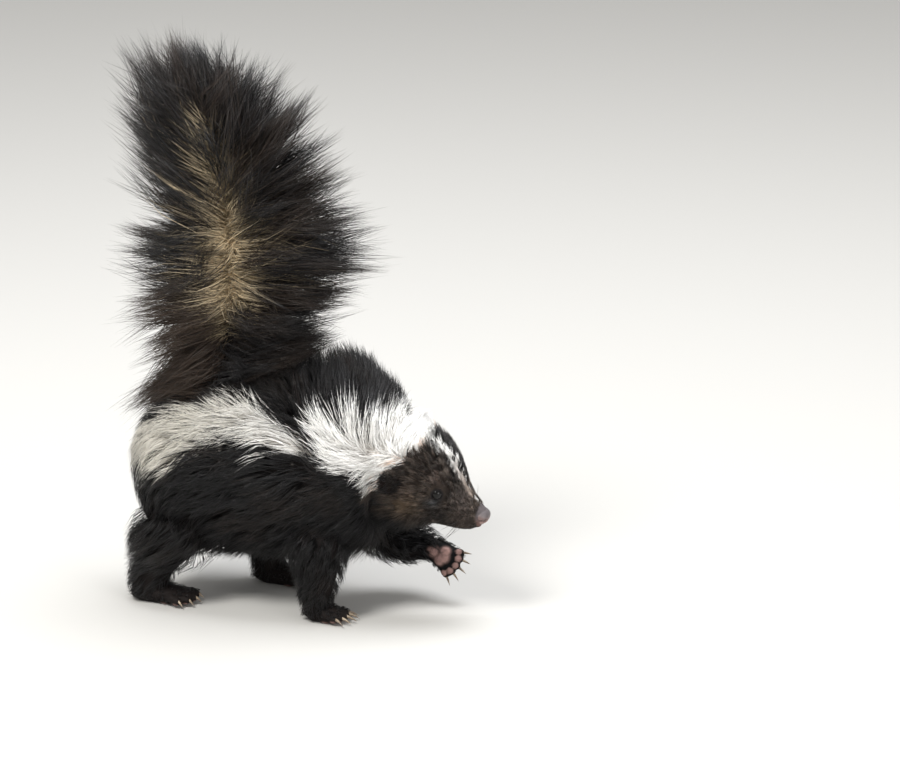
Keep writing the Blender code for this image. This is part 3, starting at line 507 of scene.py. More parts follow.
def head_shades(place):
    """How white the head is, from 0 to 1, and the colours of its white and of its darker fur."""
    along, side, above = head_places(place)
    on_crown = crown(place)
    blaze = between(along, BLAZE_HALF) - np.abs(side + between(along, BLAZE_RIGHT))
    blaze = np.where((along > 0.0135) & (along < 0.070) & (above > 0.0), blaze, -0.01)
    white = np.maximum(smooth(-0.0012, 0.0012, on_crown), smooth(-0.0004, 0.0004, blaze))
    warm = smooth(0.0065, 0.0005, on_crown) * (blaze < -0.0005) * smooth(0.008, 0.014, np.abs(side))
    warm = warm * smooth(0.9, -0.4, ripple(place, 0.012, 33))
    pale = mix(np.repeat(WHITE_TIP[None], len(place), 0), TINGE, 0.60 * warm)
    pale = mix(pale, BLAZE_END, smooth(0.030, 0.062, along) * (blaze > -0.002))
    dark = mix(FACE_DARK, FACE_GREY, np.clip(0.30 + 0.35 * ripple(place, 0.011, 34), 0.0, 1.0))
    spot = one_side(place)
    for middle, wide, colour, strength in FACE_PATCHES:
        dark = mix(dark, np.array(colour), strength * bell(distance(spot, middle), wide))
    dark = mix(dark, BLACK_TIP, smooth(-0.014, -0.026, above))
    bridge = 0.85 * smooth(0.017, 0.009, np.abs(side)) * smooth(0.060, 0.045, along)
    dark = mix(dark, BLACK_TIP * 1.5, bridge)
    # Fur along the mouth line is black: the lips' dark edge, with painted shade in the mouth's crease.
    dark = mix(dark, BLACK_TIP, smooth(0.0018, 0.0008, mouth_distance(place)))
    return white, pale, dark


def head_paint(rng, place):
    """Root and tip colours of the short fur of the face."""
    count = len(place)
    white, pale, dark = head_shades(place)
    pale = pale * np.clip(rng.normal(0.97, 0.05, count), 0.7, 1.03)[:, None]
    tip = dark * np.exp(0.45 * ripple(place, 0.0045, 36) + rng.normal(0.0, 0.38, count))[:, None]
    is_white = rng.uniform(0.0, 1.0, count) < white
    return chosen(is_white, [pale * 0.95, pale], [tip * 0.45, np.clip(tip, 0.0, 0.6)])


def ear_paint(rng, place):
    """Dark inside the ear, browner round its rim."""
    rim = smooth(0.4, 1.0, (head_places(place)[2] - EAR_PLACE[2]) / EAR_SIZE[2])
    tip = mix(BLACK_TIP * 1.6, FACE_GREY * 0.8, rim) * rng.lognormal(0.0, 0.3, len(place))[:, None]
    return tip * 0.5, tip


def black_paint(rng, place):
    return list(black_hair(rng, place, len(place)))


# Hair

def scatter(rng, loft, count, s_range, turn_range, weight=None):
    """Random roots spread evenly over a part of a loft's skin, or by a weight of station and angle."""
    fine = 160
    s = np.linspace(*s_range, fine + 1)
    turn = np.radians(np.linspace(*turn_range, fine + 1))
    mid_s, mid_turn = np.meshgrid((s[1:] + s[:-1]) / 2.0, (turn[1:] + turn[:-1]) / 2.0, indexing="ij")
    per_s, per_turn = loft.frame(mid_s, mid_turn)[4:]
    area = per_s * per_turn
    if weight:
        area = area * weight(mid_s, mid_turn)
    drawn = rng.choice(area.size, size=count, p=(area / area.sum()).ravel())
    i, j = np.unravel_index(drawn, area.shape)
    return (
        s[i] + rng.uniform(0.0, 1.0, count) * (s[1] - s[0]),
        turn[j] + rng.uniform(0.0, 1.0, count) * (turn[1] - turn[0]),
    )


def spikes(centres, facing, width, flat):
    """Closed three-sided hairs along lines of points; the last point of each line is its tip.

    centres is hairs x points x 3, facing the way each hair's flat side looks, and flat its thickness over
    its width."""
    count, levels = centres.shape[:2]
    along = np.empty_like(centres)
    along[:, 1:-1] = centres[:, 2:] - centres[:, :-2]
    along[:, 0] = centres[:, 1] - centres[:, 0]
    along[:, -1] = centres[:, -1] - centres[:, -2]
    along = unit(along)
    side = unit(np.cross(along, facing[:, None, :]))
    face = np.cross(side, along)
    share = np.linspace(0.0, 1.0, levels)[:-1]
    profile = (0.75 + 0.6 * share) * (1.0 - share**2.2)
    corners = []
    for turn in (90.0, 210.0, 330.0):
        c, s = math.cos(math.radians(turn)), math.sin(math.radians(turn))
        radius = (width / 2.0)[:, None, None] * profile[None, :, None]
        corners.append(centres[:, :-1] + side[:, :-1] * radius * c + face[:, :-1] * radius * s * flat)
    rings = np.stack(corners, 2).reshape(count, -1, 3)
    return np.concatenate([rings, centres[:, -1:]], 1)


def hair_faces(levels):
    """Faces of one hair and where each corner lies in its patch of the map: across, then root to tip."""
    faces, spots = [(2, 1, 0)], [((1.0, 0.0), (0.5, 0.06), (0.0, 0.0))]
    for level in range(levels - 2):
        low, high = level / (levels - 1), (level + 1) / (levels - 1)
        for j in range(3):
            n = (j + 1) % 3
            a, b = level * 3, level * 3 + 3
            faces.append((a + j, a + n, b + n, b + j))
            spots.append(((j / 3, low), ((j + 1) / 3, low), ((j + 1) / 3, high), (j / 3, high)))
    tip = (levels - 1) * 3
    low = (levels - 2) / (levels - 1)
    for j in range(3):
        n = (j + 1) % 3
        faces.append((tip - 3 + j, tip - 3 + n, tip))
        spots.append(((j / 3, low), ((j + 1) / 3, low), ((j + 0.5) / 3, 1.0)))
    return faces, spots


def colour_vertices(mesh, colours):
    paint = mesh.color_attributes.new(COAT_COLOUR, "FLOAT_COLOR", "POINT")
    rgba = np.concatenate([np.clip(colours, 0.0, 1.0), np.ones((len(colours), 1))], 1)
    paint.data.foreach_set("color", rgba.astype(np.float32).ravel())


def linked(name, data):
    """A new object of the scene."""
    obj = bpy.data.objects.new(name, data)
    bpy.context.scene.collection.objects.link(obj)
    return obj


def dress(obj, material, slot, *replaced):
    """Gives a piece its material, smooth faces and body, and hides the solids that it stands for. Its slot
    is not used.
    """
    obj.data.materials.clear()
    obj.data.materials.append(material)
    obj.data.polygons.foreach_set("use_smooth", np.ones(len(obj.data.polygons), bool))
    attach(obj, "root")
    if replaced:
        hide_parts(*replaced)
    print("piece", obj.name, sum(len(p.vertices) - 2 for p in obj.data.polygons), "triangles")


class Coat:
    """Collects hairs, and makes one piece of them."""

    def __init__(self):
        self.batches = []

    def add(self, centres, facing, width, flat, root, tip, blend, place):
        """root and tip are colours, blend how far from root to tip each level is, and place each root's
        spot on its skin's unwrap, both from 0 to 1."""
        verts = spikes(centres, facing, width, flat)
        colours = root[:, None, :] * (1.0 - blend[..., None]) + tip[:, None, :] * blend[..., None]
        colours = np.concatenate([np.repeat(colours[:, :-1], 3, axis=1), colours[:, -1:]], 1)
        self.batches.append((centres.shape[1], verts, colours, place))

    def piece(self, name, material, slot):
        loops, sizes, maps = [], [], []
        start = 0
        for levels, points, _, place in self.batches:
            count, each = points.shape[:2]
            base = start + np.arange(count)[:, None] * each
            cell = np.floor(np.clip(place, 0.0, 0.996) / UV_PATCH) * UV_PATCH
            for face, spot in zip(*hair_faces(levels)):
                loops.append((base + np.array(face)[None]).ravel())
                at = cell[:, None, :] + (np.array(spot)[None] * 0.94 + 0.03) * UV_PATCH
                maps.append(at.reshape(-1, 2))
                sizes.append(np.full(count, len(face)))
            start += count * each
        verts = np.concatenate([points.reshape(-1, 3) for _, points, _, _ in self.batches]) + SHIFT
        sizes = np.concatenate(sizes)
        mesh = bpy.data.meshes.new(name)
        mesh.vertices.add(len(verts))
        mesh.vertices.foreach_set("co", verts.astype(np.float32).ravel())
        loops = np.concatenate(loops)
        mesh.loops.add(len(loops))
        mesh.loops.foreach_set("vertex_index", loops.astype(np.int32))
        mesh.polygons.add(len(sizes))
        starts = np.concatenate([[0], np.cumsum(sizes)[:-1]])
        mesh.polygons.foreach_set("loop_start", starts.astype(np.int32))
        layer = mesh.uv_layers.new(name="OFBake", do_init=False)
        layer.uv.foreach_set("vector", np.concatenate(maps).astype(np.float32).ravel())
        colour_vertices(mesh, np.concatenate([shades.reshape(-1, 3) for _, _, shades, _ in self.batches]))
        mesh.update(calc_edges=True)
        mesh.validate()
        dress(linked(name, mesh), material, slot)


def comb(loft, s, turn, lie, run, stray, bend):
    """Lines over a skin from each root, led by lie and turned by stray, and by bend towards the tip:
    stations and angles after each step of the run."""
    path = [np.stack([s, turn], -1)]
    for step in range(COMB_STEPS):
        place, along, around, out, per_s, per_turn = loft.frame(s, turn)
        way = lie(place, along, around, out)
        way = unit(way - out * dot(way, out)[:, None])
        swing = stray + bend * step / COMB_STEPS
        way = way * np.cos(swing)[:, None] + np.cross(out, way) * np.sin(swing)[:, None]
        s = np.clip(s + dot(way, along) * run / COMB_STEPS / per_s, 0.02, loft.last)
        turn = turn + dot(way, around) * run / COMB_STEPS / per_turn
        path.append(np.stack([s, turn], -1))
    return np.stack(path, 1)


def grow(coat, rng, region, clumps, each, s_range, turn_range, look, strip=(0.0, 1.0)):
    """Clumps of hair combed over a region's skin. look holds their sizes and functions, and strip the part
    of the map's width that they take."""
    skin, outer = LOFTS[region]
    s, turn = scatter(rng, skin, clumps, s_range, turn_range, look.get("weight"))
    length = look["length"](s, turn) * rng.uniform(0.85, 1.12, clumps)
    place, along, _, _, per_s, per_turn = skin.frame(s, turn)
    keep = ~hidden(place, look["under"])
    if "keep" in look:
        for share in (0.0, 0.5, 1.0):
            keep &= look["keep"](place - along * (length * share)[:, None])
    s, turn, length, per_s, per_turn = (v[keep] for v in (s, turn, length, per_s, per_turn))
    clumps = len(s)
    place, along, around, away = skin.frame(s, turn)[:4]
    stand = np.clip(unit(look["lie"](place, along, around, away))[:, 2] * away[:, 2], 0.0, 1.0)
    run = length * look["run"] * np.maximum(np.sqrt(1.0 - stand**2), 0.30)
    stray = rng.normal(0.0, look["stray"], clumps)
    bend = rng.normal(0.0, look["bend"], clumps)
    path = comb(skin, s, turn, look["lie"], run, stray, bend)
    who = np.repeat(np.arange(clumps), each)
    count = len(who)
    off_s = rng.normal(0.0, look["clump"], count) / per_s[who]
    off_turn = rng.normal(0.0, look["clump"], count) / per_turn[who]
    reach = rng.uniform(0.62, 1.05, count)
    pinch = np.clip(rng.normal(look["pinch"], 0.15, clumps), 0.0, 0.95)[who]
    rise = (look["rise"](s, turn) + STAND_MORE * stand)[who] * rng.uniform(0.72, 1.06, count)
    hang = look["hang"](s, turn)[who] * rng.uniform(0.4, 1.1, count)
    levels = look["levels"]
    ts = np.linspace(0.0, 1.0, levels)
    centres = np.empty((count, levels, 3))
    for k, t in enumerate(ts):
        at = np.clip(reach * t, 0.0, 1.0) * COMB_STEPS
        low = np.minimum(at.astype(int), COMB_STEPS - 1)
        spot = mix(path[who, low], path[who, low + 1], at - low)
        spot_s = np.clip(spot[:, 0] + off_s * (1.0 - pinch * t), 0.0, skin.last)
        spot_turn = spot[:, 1] + off_turn * (1.0 - pinch * t)
        point, _, _, out = skin.frame(spot_s, spot_turn)[:4]
        depth = dot(outer.point(spot_s, spot_turn) - point, out)
        lift = depth * rise * (1.0 - (1.0 - t) ** look["curve"]) + hang * t * t
        centres[:, k] = point + out * (lift - (SINK if k == 0 else 0.0))[:, None]
    centres[:, 1:] += rng.normal(0.0, look["wobble"], (count, levels - 1, 3)) * ts[None, 1:, None]
    centres[..., 2] = np.maximum(centres[..., 2], FLOOR_GAP)
    facing = unit(away[who] + rng.normal(0.0, 0.45, (count, 3)))
    root, tip = look["paint"](rng, centres[:, 1])
    width = look["width"] * rng.uniform(0.70, 1.30, count) * np.clip(reach, 0.8, 1.0)
    blend = np.repeat(smooth(0.0, 0.8, ts)[None], count, 0)
    across = (np.degrees(turn[who]) - turn_range[0]) / (turn_range[1] - turn_range[0])
    down = (s[who] - s_range[0]) / (s_range[1] - s_range[0])
    place = np.stack([strip[0] + across * (strip[1] - strip[0]), down], -1)
    coat.add(centres, facing, width, HAIR_FLAT, root, tip, blend, place)


def hidden(place, regions):
    """Whether places lie inside the skin of other regions."""
    found = np.zeros(len(place), bool)
    for region in regions:
        loft = LOFTS[region][0]
        rows = loft.row(np.linspace(0.0, loft.last, 12 * loft.last + 1))
        forward, left, up = axes(rows[:, 3], rows[:, 4], rows[:, 8])
        offset = place[:, None, :] - rows[None, :, :3]
        ahead = np.abs(dot(offset, forward))
        across = dot(offset, left) / rows[:, 5]
        above = dot(offset, up)
        above = above / np.where(above > 0.0, rows[:, 6], rows[:, 7])
        gap = distance(rows[1:, :3], rows[:-1, :3]).max()
        found |= ((ahead < gap) & (across**2 + above**2 < 0.92)).any(1)
    return found


# The lie of the long coat: the way that hair points at places in leaning_view, in degrees up from ahead.
COMB = metres((
    (-132, 154, 182), (-118, 116, 205), (-126, 85, 240), (-100, 60, 245), (-82, 168, 158), (-82, 135, 190),
    (-84, 100, 202), (-52, 174, 145), (-42, 143, 185), (-30, 163, 140), (-42, 105, 194), (-42, 82, 207),
    (-50, 50, 228), (-8, 136, 150), (-8, 118, 188), (0, 92, 205), (0, 50, 232), (10, 160, 116),
    (17, 127, 140), (25, 205, 88), (39, 168, 92), (39, 110, 195), (34, 85, 206), (43, 50, 238),
    (52, 200, 65), (63, 152, 75), (62, 106, 203), (73, 182, 50), (81, 166, 60), (104, 148, 50),
    (68, 85, 200), (66, 50, 240), (95, 85, 225),
), (2,))
COMB_SOFT = 0.006
STAND_MORE = 0.34  # how much further than its lying coat standing hair reaches, in depths of the coat


def combed(place):
    """The way the long coat points, the same on both sides."""
    ahead, height = leaning_view(place)
    gap = (ahead[:, None] - COMB[:, 0]) ** 2 + (height[:, None] - COMB[:, 1]) ** 2
    weight = 1.0 / (gap + COMB_SOFT**2) ** 2
    angle = np.radians(COMB[:, 2])
    onward, up = weight @ np.cos(angle), weight @ np.sin(angle)
    size = np.hypot(onward, up)
    right = np.clip(-place[:, 1] / 0.012, -1.0, 1.0)
    turned = np.stack([np.ones_like(right), right, np.ones_like(right)], -1)
    return ((onward / size)[:, None] * VIEW_AHEAD + (up / size)[:, None] * VIEW_UP) * turned


def lie_body(place, along, around, out):
    """As combed, and down over the rump."""
    return combed(place) - UP * (0.9 * smooth(0.3, 0.9, -out[:, 0]))[:, None]


def lie_head(place, along, around, out):
    """Back from the nose, down the cheeks and away from the eyes, and as combed behind the crown."""
    forward, _, up = head_axes()
    on, _, above = head_places(place)
    cheek = smooth(0.012, -0.010, above) * smooth(0.070, 0.030, on)
    way = -forward - up * (0.45 * cheek)[:, None]
    for side in (-1.0, 1.0):
        off = place - eye_place(side)
        gap = np.linalg.norm(off, axis=1, keepdims=True)
        off = off - forward * (off @ forward)[:, None]
        way = way + off / gap * 1.2 * bell(gap, 0.010)
    return mix(unit(way), combed(place), smooth(0.014, -0.002, on))


def lie_leg(place, along, around, out):
    return along + np.array((-0.25, 0.0, 0.0))


def lie_on(place, along, around, out):
    return along


def crest(turn):
    """How much the hair of the back stands up, from 0 on the flanks to 1 along the spine."""
    return smooth(0.35, 0.90, np.sin(turn))


def belly(turn):
    return smooth(-0.45, -0.95, np.sin(turn))


LENGTHS = metres((
    (0, 34), (4, 43), (7, 40), (8.5, 36), (9.5, 29), (10, 24), (11, 17), (13, 11.5), (15, 8), (19, 3.2),
), (0,))
THROAT_LONGER = metres(((8, 0), (9.5, 10), (11, 14), (12.5, 8), (14, 0)), (0,))
HANG = metres(((0, 6), (7, 8), (9.5, 15), (11, 18), (13, 15), (14.4, 7), (15.2, 0)), (0,))
NAPE = metres((
    (8.4, 0), (9.3, 8), (10.3, 7), (11.2, 0),
), (0,))  # how much higher the hair of the nape stands
THIGH = metres((
    (0.5, 0), (1.8, 14), (3.8, 12), (5, 0),
), (0,))  # how much longer the low hair over the thigh is


def always(value):
    """A length or share that is the same all over a skin."""
    return lambda s, turn: value + 0.0 * s


def body_hang(s, turn):
    return belly(turn) * between(s, HANG) + crest(turn) * between(s, NAPE)


def body_length(s, turn):
    low = smooth(0.1, -0.5, np.sin(turn)) * (1.0 + 0.5 * ripple(LOFTS["body"][0].point(s, turn), 0.010, 14))
    return between(s, LENGTHS) + belly(turn) * between(s, THROAT_LONGER) + low * between(s, THIGH)


def body_rise(s, turn):
    return 0.80 + 0.10 * belly(turn) * smooth(10.6, 9.0, s)


BODY_LOOK = {
    "length": body_length,
    "rise": body_rise,
    "hang": body_hang,
    "lie": lie_body,
    "under": (),  # regions whose skin hides a root
    "levels": 4,
    "run": 0.9,
    "curve": 1.7,
    "bend": 0.25,
    "clump": 0.0034,
    "pinch": 0.72,
    "width": 0.00084,
    "paint": body_paint,
    "stray": 0.15,
    "wobble": 0.0009,
}


def eye_gap(place):
    """How far places lie from the middle of the nearer eye."""
    return np.minimum(*(distance(place, eye_place(side)) for side in (-1.0, 1.0)))


EYE_CLEAR = 0.0050
NOSE_CLEAR = 0.0094


def bare_face(place):
    """Whether places are clear of the eyes and the nose."""
    return (eye_gap(place) > EYE_CLEAR) & (distance(place, head_point(*NOSE_PLACE)) > NOSE_CLEAR)


def head_rise(s, turn):
    """Higher on the rise round each eye."""
    ridge = smooth(0.75, 0.97, np.sin(turn)) * smooth(15.5, 14.0, s)
    return 0.80 + 0.45 * bell(eye_gap(LOFTS["body"][0].point(s, turn)), 0.010) + 0.55 * ridge


HEAD_LOOK = dict(
    BODY_LOOK, lie=lie_head, levels=3, clump=0.0016, pinch=0.5, width=0.00058, paint=head_paint, stray=0.12,
    wobble=0.0003, rise=head_rise, keep=bare_face,
)
FACE_LOOK = dict(
    HEAD_LOOK, clump=0.0009, width=0.00043, weight=lambda s, turn: 0.6 + 0.4 * smooth(14.6, 16.6, s),
)
BACK_LOOK = dict(BODY_LOOK, run=0.8, curve=1.25, pinch=0.60, stray=0.20, wobble=0.0014, rise=always(0.90))
NECK_LOOK = dict(BODY_LOOK, curve=1.4, pinch=0.55)
# Coats on the body's skin: name, slot, clumps, hairs to a clump, stations, degrees round it and look.
BODY_COATS = (
    ("flank_right", "black_fur", 660, 14, (0.25, 8.8), (130.0, 275.0), BODY_LOOK),
    ("flank_left", "black_fur", 660, 14, (0.25, 8.8), (-95.0, 50.0), BODY_LOOK),
    ("back", "black_fur", 700, 14, (0.8, 9.4), (38.0, 142.0), BACK_LOOK),
    ("neck", "white_fur", 700, 14, (8.1, 11.3), (-90.0, 270.0), NECK_LOOK),
    ("head", "face_fur", 1150, 10, (10.0, 14.0), (-90.0, 270.0), HEAD_LOOK),
    ("face", "face_fur", 1560, 10, (13.4, 19.1), (-90.0, 270.0), FACE_LOOK),
)


def make_body_coats(rng, material):
    """Flank, belly, back and neck hair, and the short fur of the head."""
    for name, slot, clumps, each, s_range, turn_range, look in BODY_COATS:
        coat = Coat()
        grow(coat, rng, "body", clumps, each, s_range, turn_range, look)
        coat.piece("coat_" + name, material, slot)


LEG_HAIR = {"fore_right": (0.028, 0.018), "fore_left": (0.028, 0.018), "hind_right": (0.040, 0.031)}
LEG_HAIR["hind_left"] = LEG_HAIR["hind_right"]  # its length at the top, and how much shorter at the foot
LEG_EACH = 8
STRIP_WIDTH = 0.095  # of each region's strip of the map


def leg_rise(s, turn):
    return 1.45 - 0.13 * s


def front(turn):
    """How far a place on a leg faces to its front, or to the top of the lifted one."""
    return np.maximum(np.sin(turn), 0.0)


def make_leg_coat(rng, material):
    """The legs, feet and ears, each in its own strip of the map."""
    coat = Coat()
    look = dict(
        BODY_LOOK, lie=lie_leg, levels=3, clump=0.0019, pinch=0.6, width=0.00072, paint=black_paint,
        rise=leg_rise, under=("body",), wobble=0.0012, stray=0.28, hang=always(0.0020),
    )
    short = dict(
        look, lie=lie_on, clump=0.0009, width=0.00045, wobble=0.0002, stray=0.15, under=(),
        hang=always(0.0), rise=always(0.95), length=lambda s, turn: 0.0055 - 0.0003 * s,
    )
    ear = dict(
        short, width=0.00036, paint=ear_paint, stray=0.10, bend=0.05, run=0.6, pinch=0.25,
        length=always(0.0034),
    )
    regions = [(name, 300, look, 0.2) for name in LEGS]
    regions += [("foot_" + name, 110, short, 0.2) for name in LEGS]
    regions += [("ear_" + word, 190, ear, 0.1) for word in ("right", "left")]
    for number, (region, clumps, shape, first) in enumerate(regions):
        last = LOFTS[region][0].last
        if region in LEGS:
            top, less = LEG_HAIR[region]
            shape = dict(shape, length=lambda s, turn: top - (less / last) * s)
            if region == "fore_left":
                shape["rise"] = lambda s, turn: 1.15 + 1.9 * front(turn)
            if region == "hind_right":
                shape["rise"] = lambda s, turn: leg_rise(s, turn) + 0.8 * front(turn) * (s < 2.0)
        turns = (-25.0, 205.0) if region.startswith("foot") else (0.0, 360.0)
        strip = (number / len(regions), number / len(regions) + STRIP_WIDTH)
        grow(coat, rng, region, clumps, LEG_EACH, (first, last - 0.1), turns, shape, strip)
    coat.piece("coat_legs", material, "black_fur")


# The tail's hair: how far above its root a hair's tip lies, behind the tail and before it.
LIFT_REAR = metres((
    (180, -22), (205, -30), (240, -20), (270, -6), (300, 12), (318, 28), (330, 72), (360, 98), (395, 98),
    (418, 80),
))
LIFT_FRONT = metres((
    (180, 20), (205, 12), (240, 4), (270, 6), (300, 18), (330, 42), (360, 66), (395, 76), (418, 76),
))
CREAM_SHARE = metres((
    (222, 0), (240, 0.08), (258, 0.2), (270, 0.28), (312, 0.29), (328, 0.19), (350, 0.14), (400, 0.11),
    (415, 0),
), (1,))
TAIL_LEVELS = np.array((0.0, 0.20, 0.46, 0.74, 1.0))
TAIL_BANDS = (("low", 1.25, 3.9, 520), ("middle", 3.9, 5.6, 520), ("high", 5.6, 8.0, 520))
TAIL_EACH = 14
LOCK_OF = 7  # clumps to a lock
WISPS = 0.60  # share of the clumps that reach the outline
TAIL_CURL = 0.0045
TAIL_ROOTS = 0.0044  # how far a clump's roots spread
TAIL_LOOSE = 0.016  # how far the tips of a clump that isn't gathered spread
TAIL_WIDTH = 0.00076
TAIL_FLAT = 0.55
PARTED = 0.90  # share of the hair that parts, and how sharply
PARTING = 0.24
TAIL_HALF_WIDTH = 0.103  # across the plume, out to the longest wisps
NOTCH_HEIGHT = 0.337  # where the plume is drawn in behind
TAIL_DROOP = np.array((-0.036, 0.0, -0.044))  # how far the lowest hair behind hangs past the plume


def parting(turn, parted):
    """Where round the plume hair ends up: it leaves the middle of each side and sweeps to front or rear."""
    quarter = math.pi / 2.0
    side = np.round(turn / math.pi) * math.pi
    off = turn - side
    swept = np.sign(off) * quarter * (np.abs(off) / quarter) ** PARTING
    return side + np.where(parted, swept, off)


def plume_tips(rng, s, turn, least, most):
    """Roots on the tail's shaft, how far behind it their hair sweeps, and where that hair ends, at a share
    from least to most of the way to the plume's outline."""
    shaft, plume = LOFTS["tail"]
    heights = plume.rows[:, 2]
    root = shaft.point(s, turn)
    parted = parting(turn, rng.uniform(0.0, 1.0, len(s)) < PARTED)
    rear = 0.5 + 0.5 * np.sin(parted)
    lift = between(root[:, 2], LIFT_REAR) * rear + between(root[:, 2], LIFT_FRONT) * (1.0 - rear)
    lobe = np.stack([np.cos(parted), np.sin(parted), root[:, 2] / 0.055], -1)
    high = smooth(0.330, 0.400, root[:, 2])
    lift = lift + 0.012 * ripple(lobe, 1.3, 41) + rng.normal(0.0, 0.009 + 0.008 * high)
    tip_s = np.interp(root[:, 2] + lift, heights, np.arange(len(heights)))
    edge = plume.point(np.clip(tip_s, 0.05, plume.last - 0.1), parted)
    share = rng.uniform(least, most) + 0.06 * ripple(lobe, 0.9, 42)
    share = share + 0.08 * rear * smooth(0.430, 0.465, edge[:, 2])
    notch = bell(edge[:, 2] - NOTCH_HEIGHT, 0.017) * smooth(0.6, 0.9, rear)
    share = np.clip(share - 0.40 * notch, 0.4, 1.12)
    tip = root + (edge - root) * share[:, None]
    tip[:, 2] -= 0.55 * np.maximum(tip[:, 2] - 0.468, 0.0)
    return root, rear, tip


def make_tail_coat(rng, material):
    """Very long hair from the shaft out to the plume's outline, parted down each side, in locks."""
    shaft = LOFTS["tail"][0]
    for name, first, last, clumps in TAIL_BANDS:
        coat = Coat()
        locks = clumps // LOCK_OF
        s, turn = rng.uniform(first, last, locks), rng.uniform(0.0, 2.0 * math.pi, locks)
        ends = plume_tips(rng, s, turn, np.full(locks, 0.84), np.full(locks, 1.04))[2]
        s, turn = rng.uniform(first, last, clumps), rng.uniform(0.0, 2.0 * math.pi, clumps)
        per_s, per_turn = shaft.frame(s, turn)[4:]
        wisp = rng.uniform(0.0, 1.0, clumps) < WISPS
        root, rear, tip = plume_tips(rng, s, turn, np.where(wisp, 0.86, 0.45), np.where(wisp, 1.02, 0.88))
        nearest = distance(tip[:, None], ends[None]).argmin(1)
        pull = np.where(wisp, rng.uniform(0.35, 0.85, clumps), rng.uniform(0.0, 0.30, clumps))
        tip = mix(tip, ends[nearest], pull)
        droop = rear * smooth(0.250, 0.205, root[:, 2]) * rng.uniform(0.3, 1.0, clumps)
        tip = tip + TAIL_DROOP * droop[:, None]
        gather = np.clip(np.where(wisp, 0.90, 0.62) + rng.normal(0.0, 0.08, clumps), 0.1, 0.96)
        curls = rng.normal(0.0, TAIL_CURL, (clumps, 3))
        who = np.repeat(np.arange(clumps), TAIL_EACH)
        count = len(who)
        off = rng.normal(0.0, TAIL_ROOTS, (count, 2))
        own_s = np.clip(s[who] + off[:, 0] / per_s[who], 1.0, shaft.last)
        own_root, _, _, out = shaft.frame(own_s, turn[who] + off[:, 1] / per_turn[who])[:4]
        own_root = own_root - out * SINK
        loose = (1.0 - gather[who])[:, None]
        own_tip = tip[who] + (own_root - root[who] + rng.normal(0.0, TAIL_LOOSE, (count, 3))) * loose
        own_tip = own_root + (own_tip - own_root) * rng.uniform(0.68, 1.03, count)[:, None]
        run = own_tip - own_root
        lean = unit(out * 0.30 + unit(run) * 0.70 + rng.normal(0.0, 0.05, (count, 3)))
        bend = own_root + lean * (np.linalg.norm(run, axis=1) * 0.5)[:, None]
        curl = curls[who] + rng.normal(0.0, 0.0012, (count, 3))
        ts = TAIL_LEVELS[None, :, None]
        centres = (
            own_root[:, None] * (1.0 - ts) ** 2
            + bend[:, None] * 2.0 * ts * (1.0 - ts)
            + own_tip[:, None] * ts**2
            + curl[:, None] * np.sin(ts * math.pi * 1.4)
        )
        centres[..., 1] = np.clip(centres[..., 1], -TAIL_HALF_WIDTH, TAIL_HALF_WIDTH)
        dark_root, dark_tip = black_hair(rng, own_tip, count)
        brown = 0.75 * smooth(-0.5, 1.2, ripple(own_tip, 0.06, 43)) * rng.uniform(0.3, 1.0, count)
        low_rear = smooth(0.290, 0.240, own_tip[:, 2]) * smooth(-0.05, -0.09, own_tip[:, 0])
        brown = np.maximum(brown, 0.9 * low_rear)
        dark_root = mix(dark_root, TAIL_BROWN, np.maximum(brown, 0.35))
        dark_tip = mix(dark_tip, TAIL_BROWN, brown * 0.7)
        cream = between(own_root[:, 2], CREAM_SHARE) * rng.uniform(0.60, 1.25, count)
        cream = cream * (1.0 + 0.40 * ripple(own_tip, 0.030, 44))
        streak = smooth(0.318, 0.335, own_root[:, 2]) * smooth(0.55, 0.75, rear[who])
        cream = cream * (1.0 + 1.2 * streak * (rng.uniform(0.0, 1.0, clumps) < 0.25)[who])
        tan = 0.9 * (rng.uniform(0.0, 1.0, clumps) < 0.10)[who] * rng.uniform(0.3, 1.0, count)
        cream_hair = (rng.uniform(0.0, 1.0, count) < 0.95) & (cream > 0.03)
        dark_root = mix(dark_root, TAIL_CREAM * 0.30, tan)
        pale = TAIL_CREAM * np.clip(rng.normal(1.0, 0.10, count), 0.7, 1.12)[:, None]
        root_colour = np.where(cream_hair[:, None], pale, dark_root)
        part = np.where(cream_hair, cream, 0.1)[:, None]
        blend = smooth(0.0, 1.0, (TAIL_LEVELS[None] - part * 0.75) / (part * 0.5 + 0.10))
        width = TAIL_WIDTH * rng.uniform(0.70, 1.25, count)
        place = np.stack([(turn[who] / (2.0 * math.pi)) % 1.0, (s[who] - first) / (last - first)], -1)
        facing = unit(rng.normal(0.0, 1.0, (count, 3)))
        coat.add(centres, facing, width, TAIL_FLAT, root_colour, dark_tip, blend, place)
        coat.piece("coat_tail_" + name, material, "tail_fur")


# Whiskers on each side: along, side and above, length, and how far up they point.
WHISKERS = metres((
    (70, 12.5, 2, 24, 0.10), (66.5, 13.8, 3.5, 28, 0.22), (63.5, 15.2, 0.8, 26, 0.02),
    (70, 12.8, -1.5, 22, -0.12), (66.5, 14, -3, 26, -0.22), (63, 15.5, -4.5, 24, -0.32),
    (64, 11, -12, 15, -0.55), (42, 20.5, 23.5, 16, 0.80),
), (4,))
WHISKER_WIDTH = 0.00034


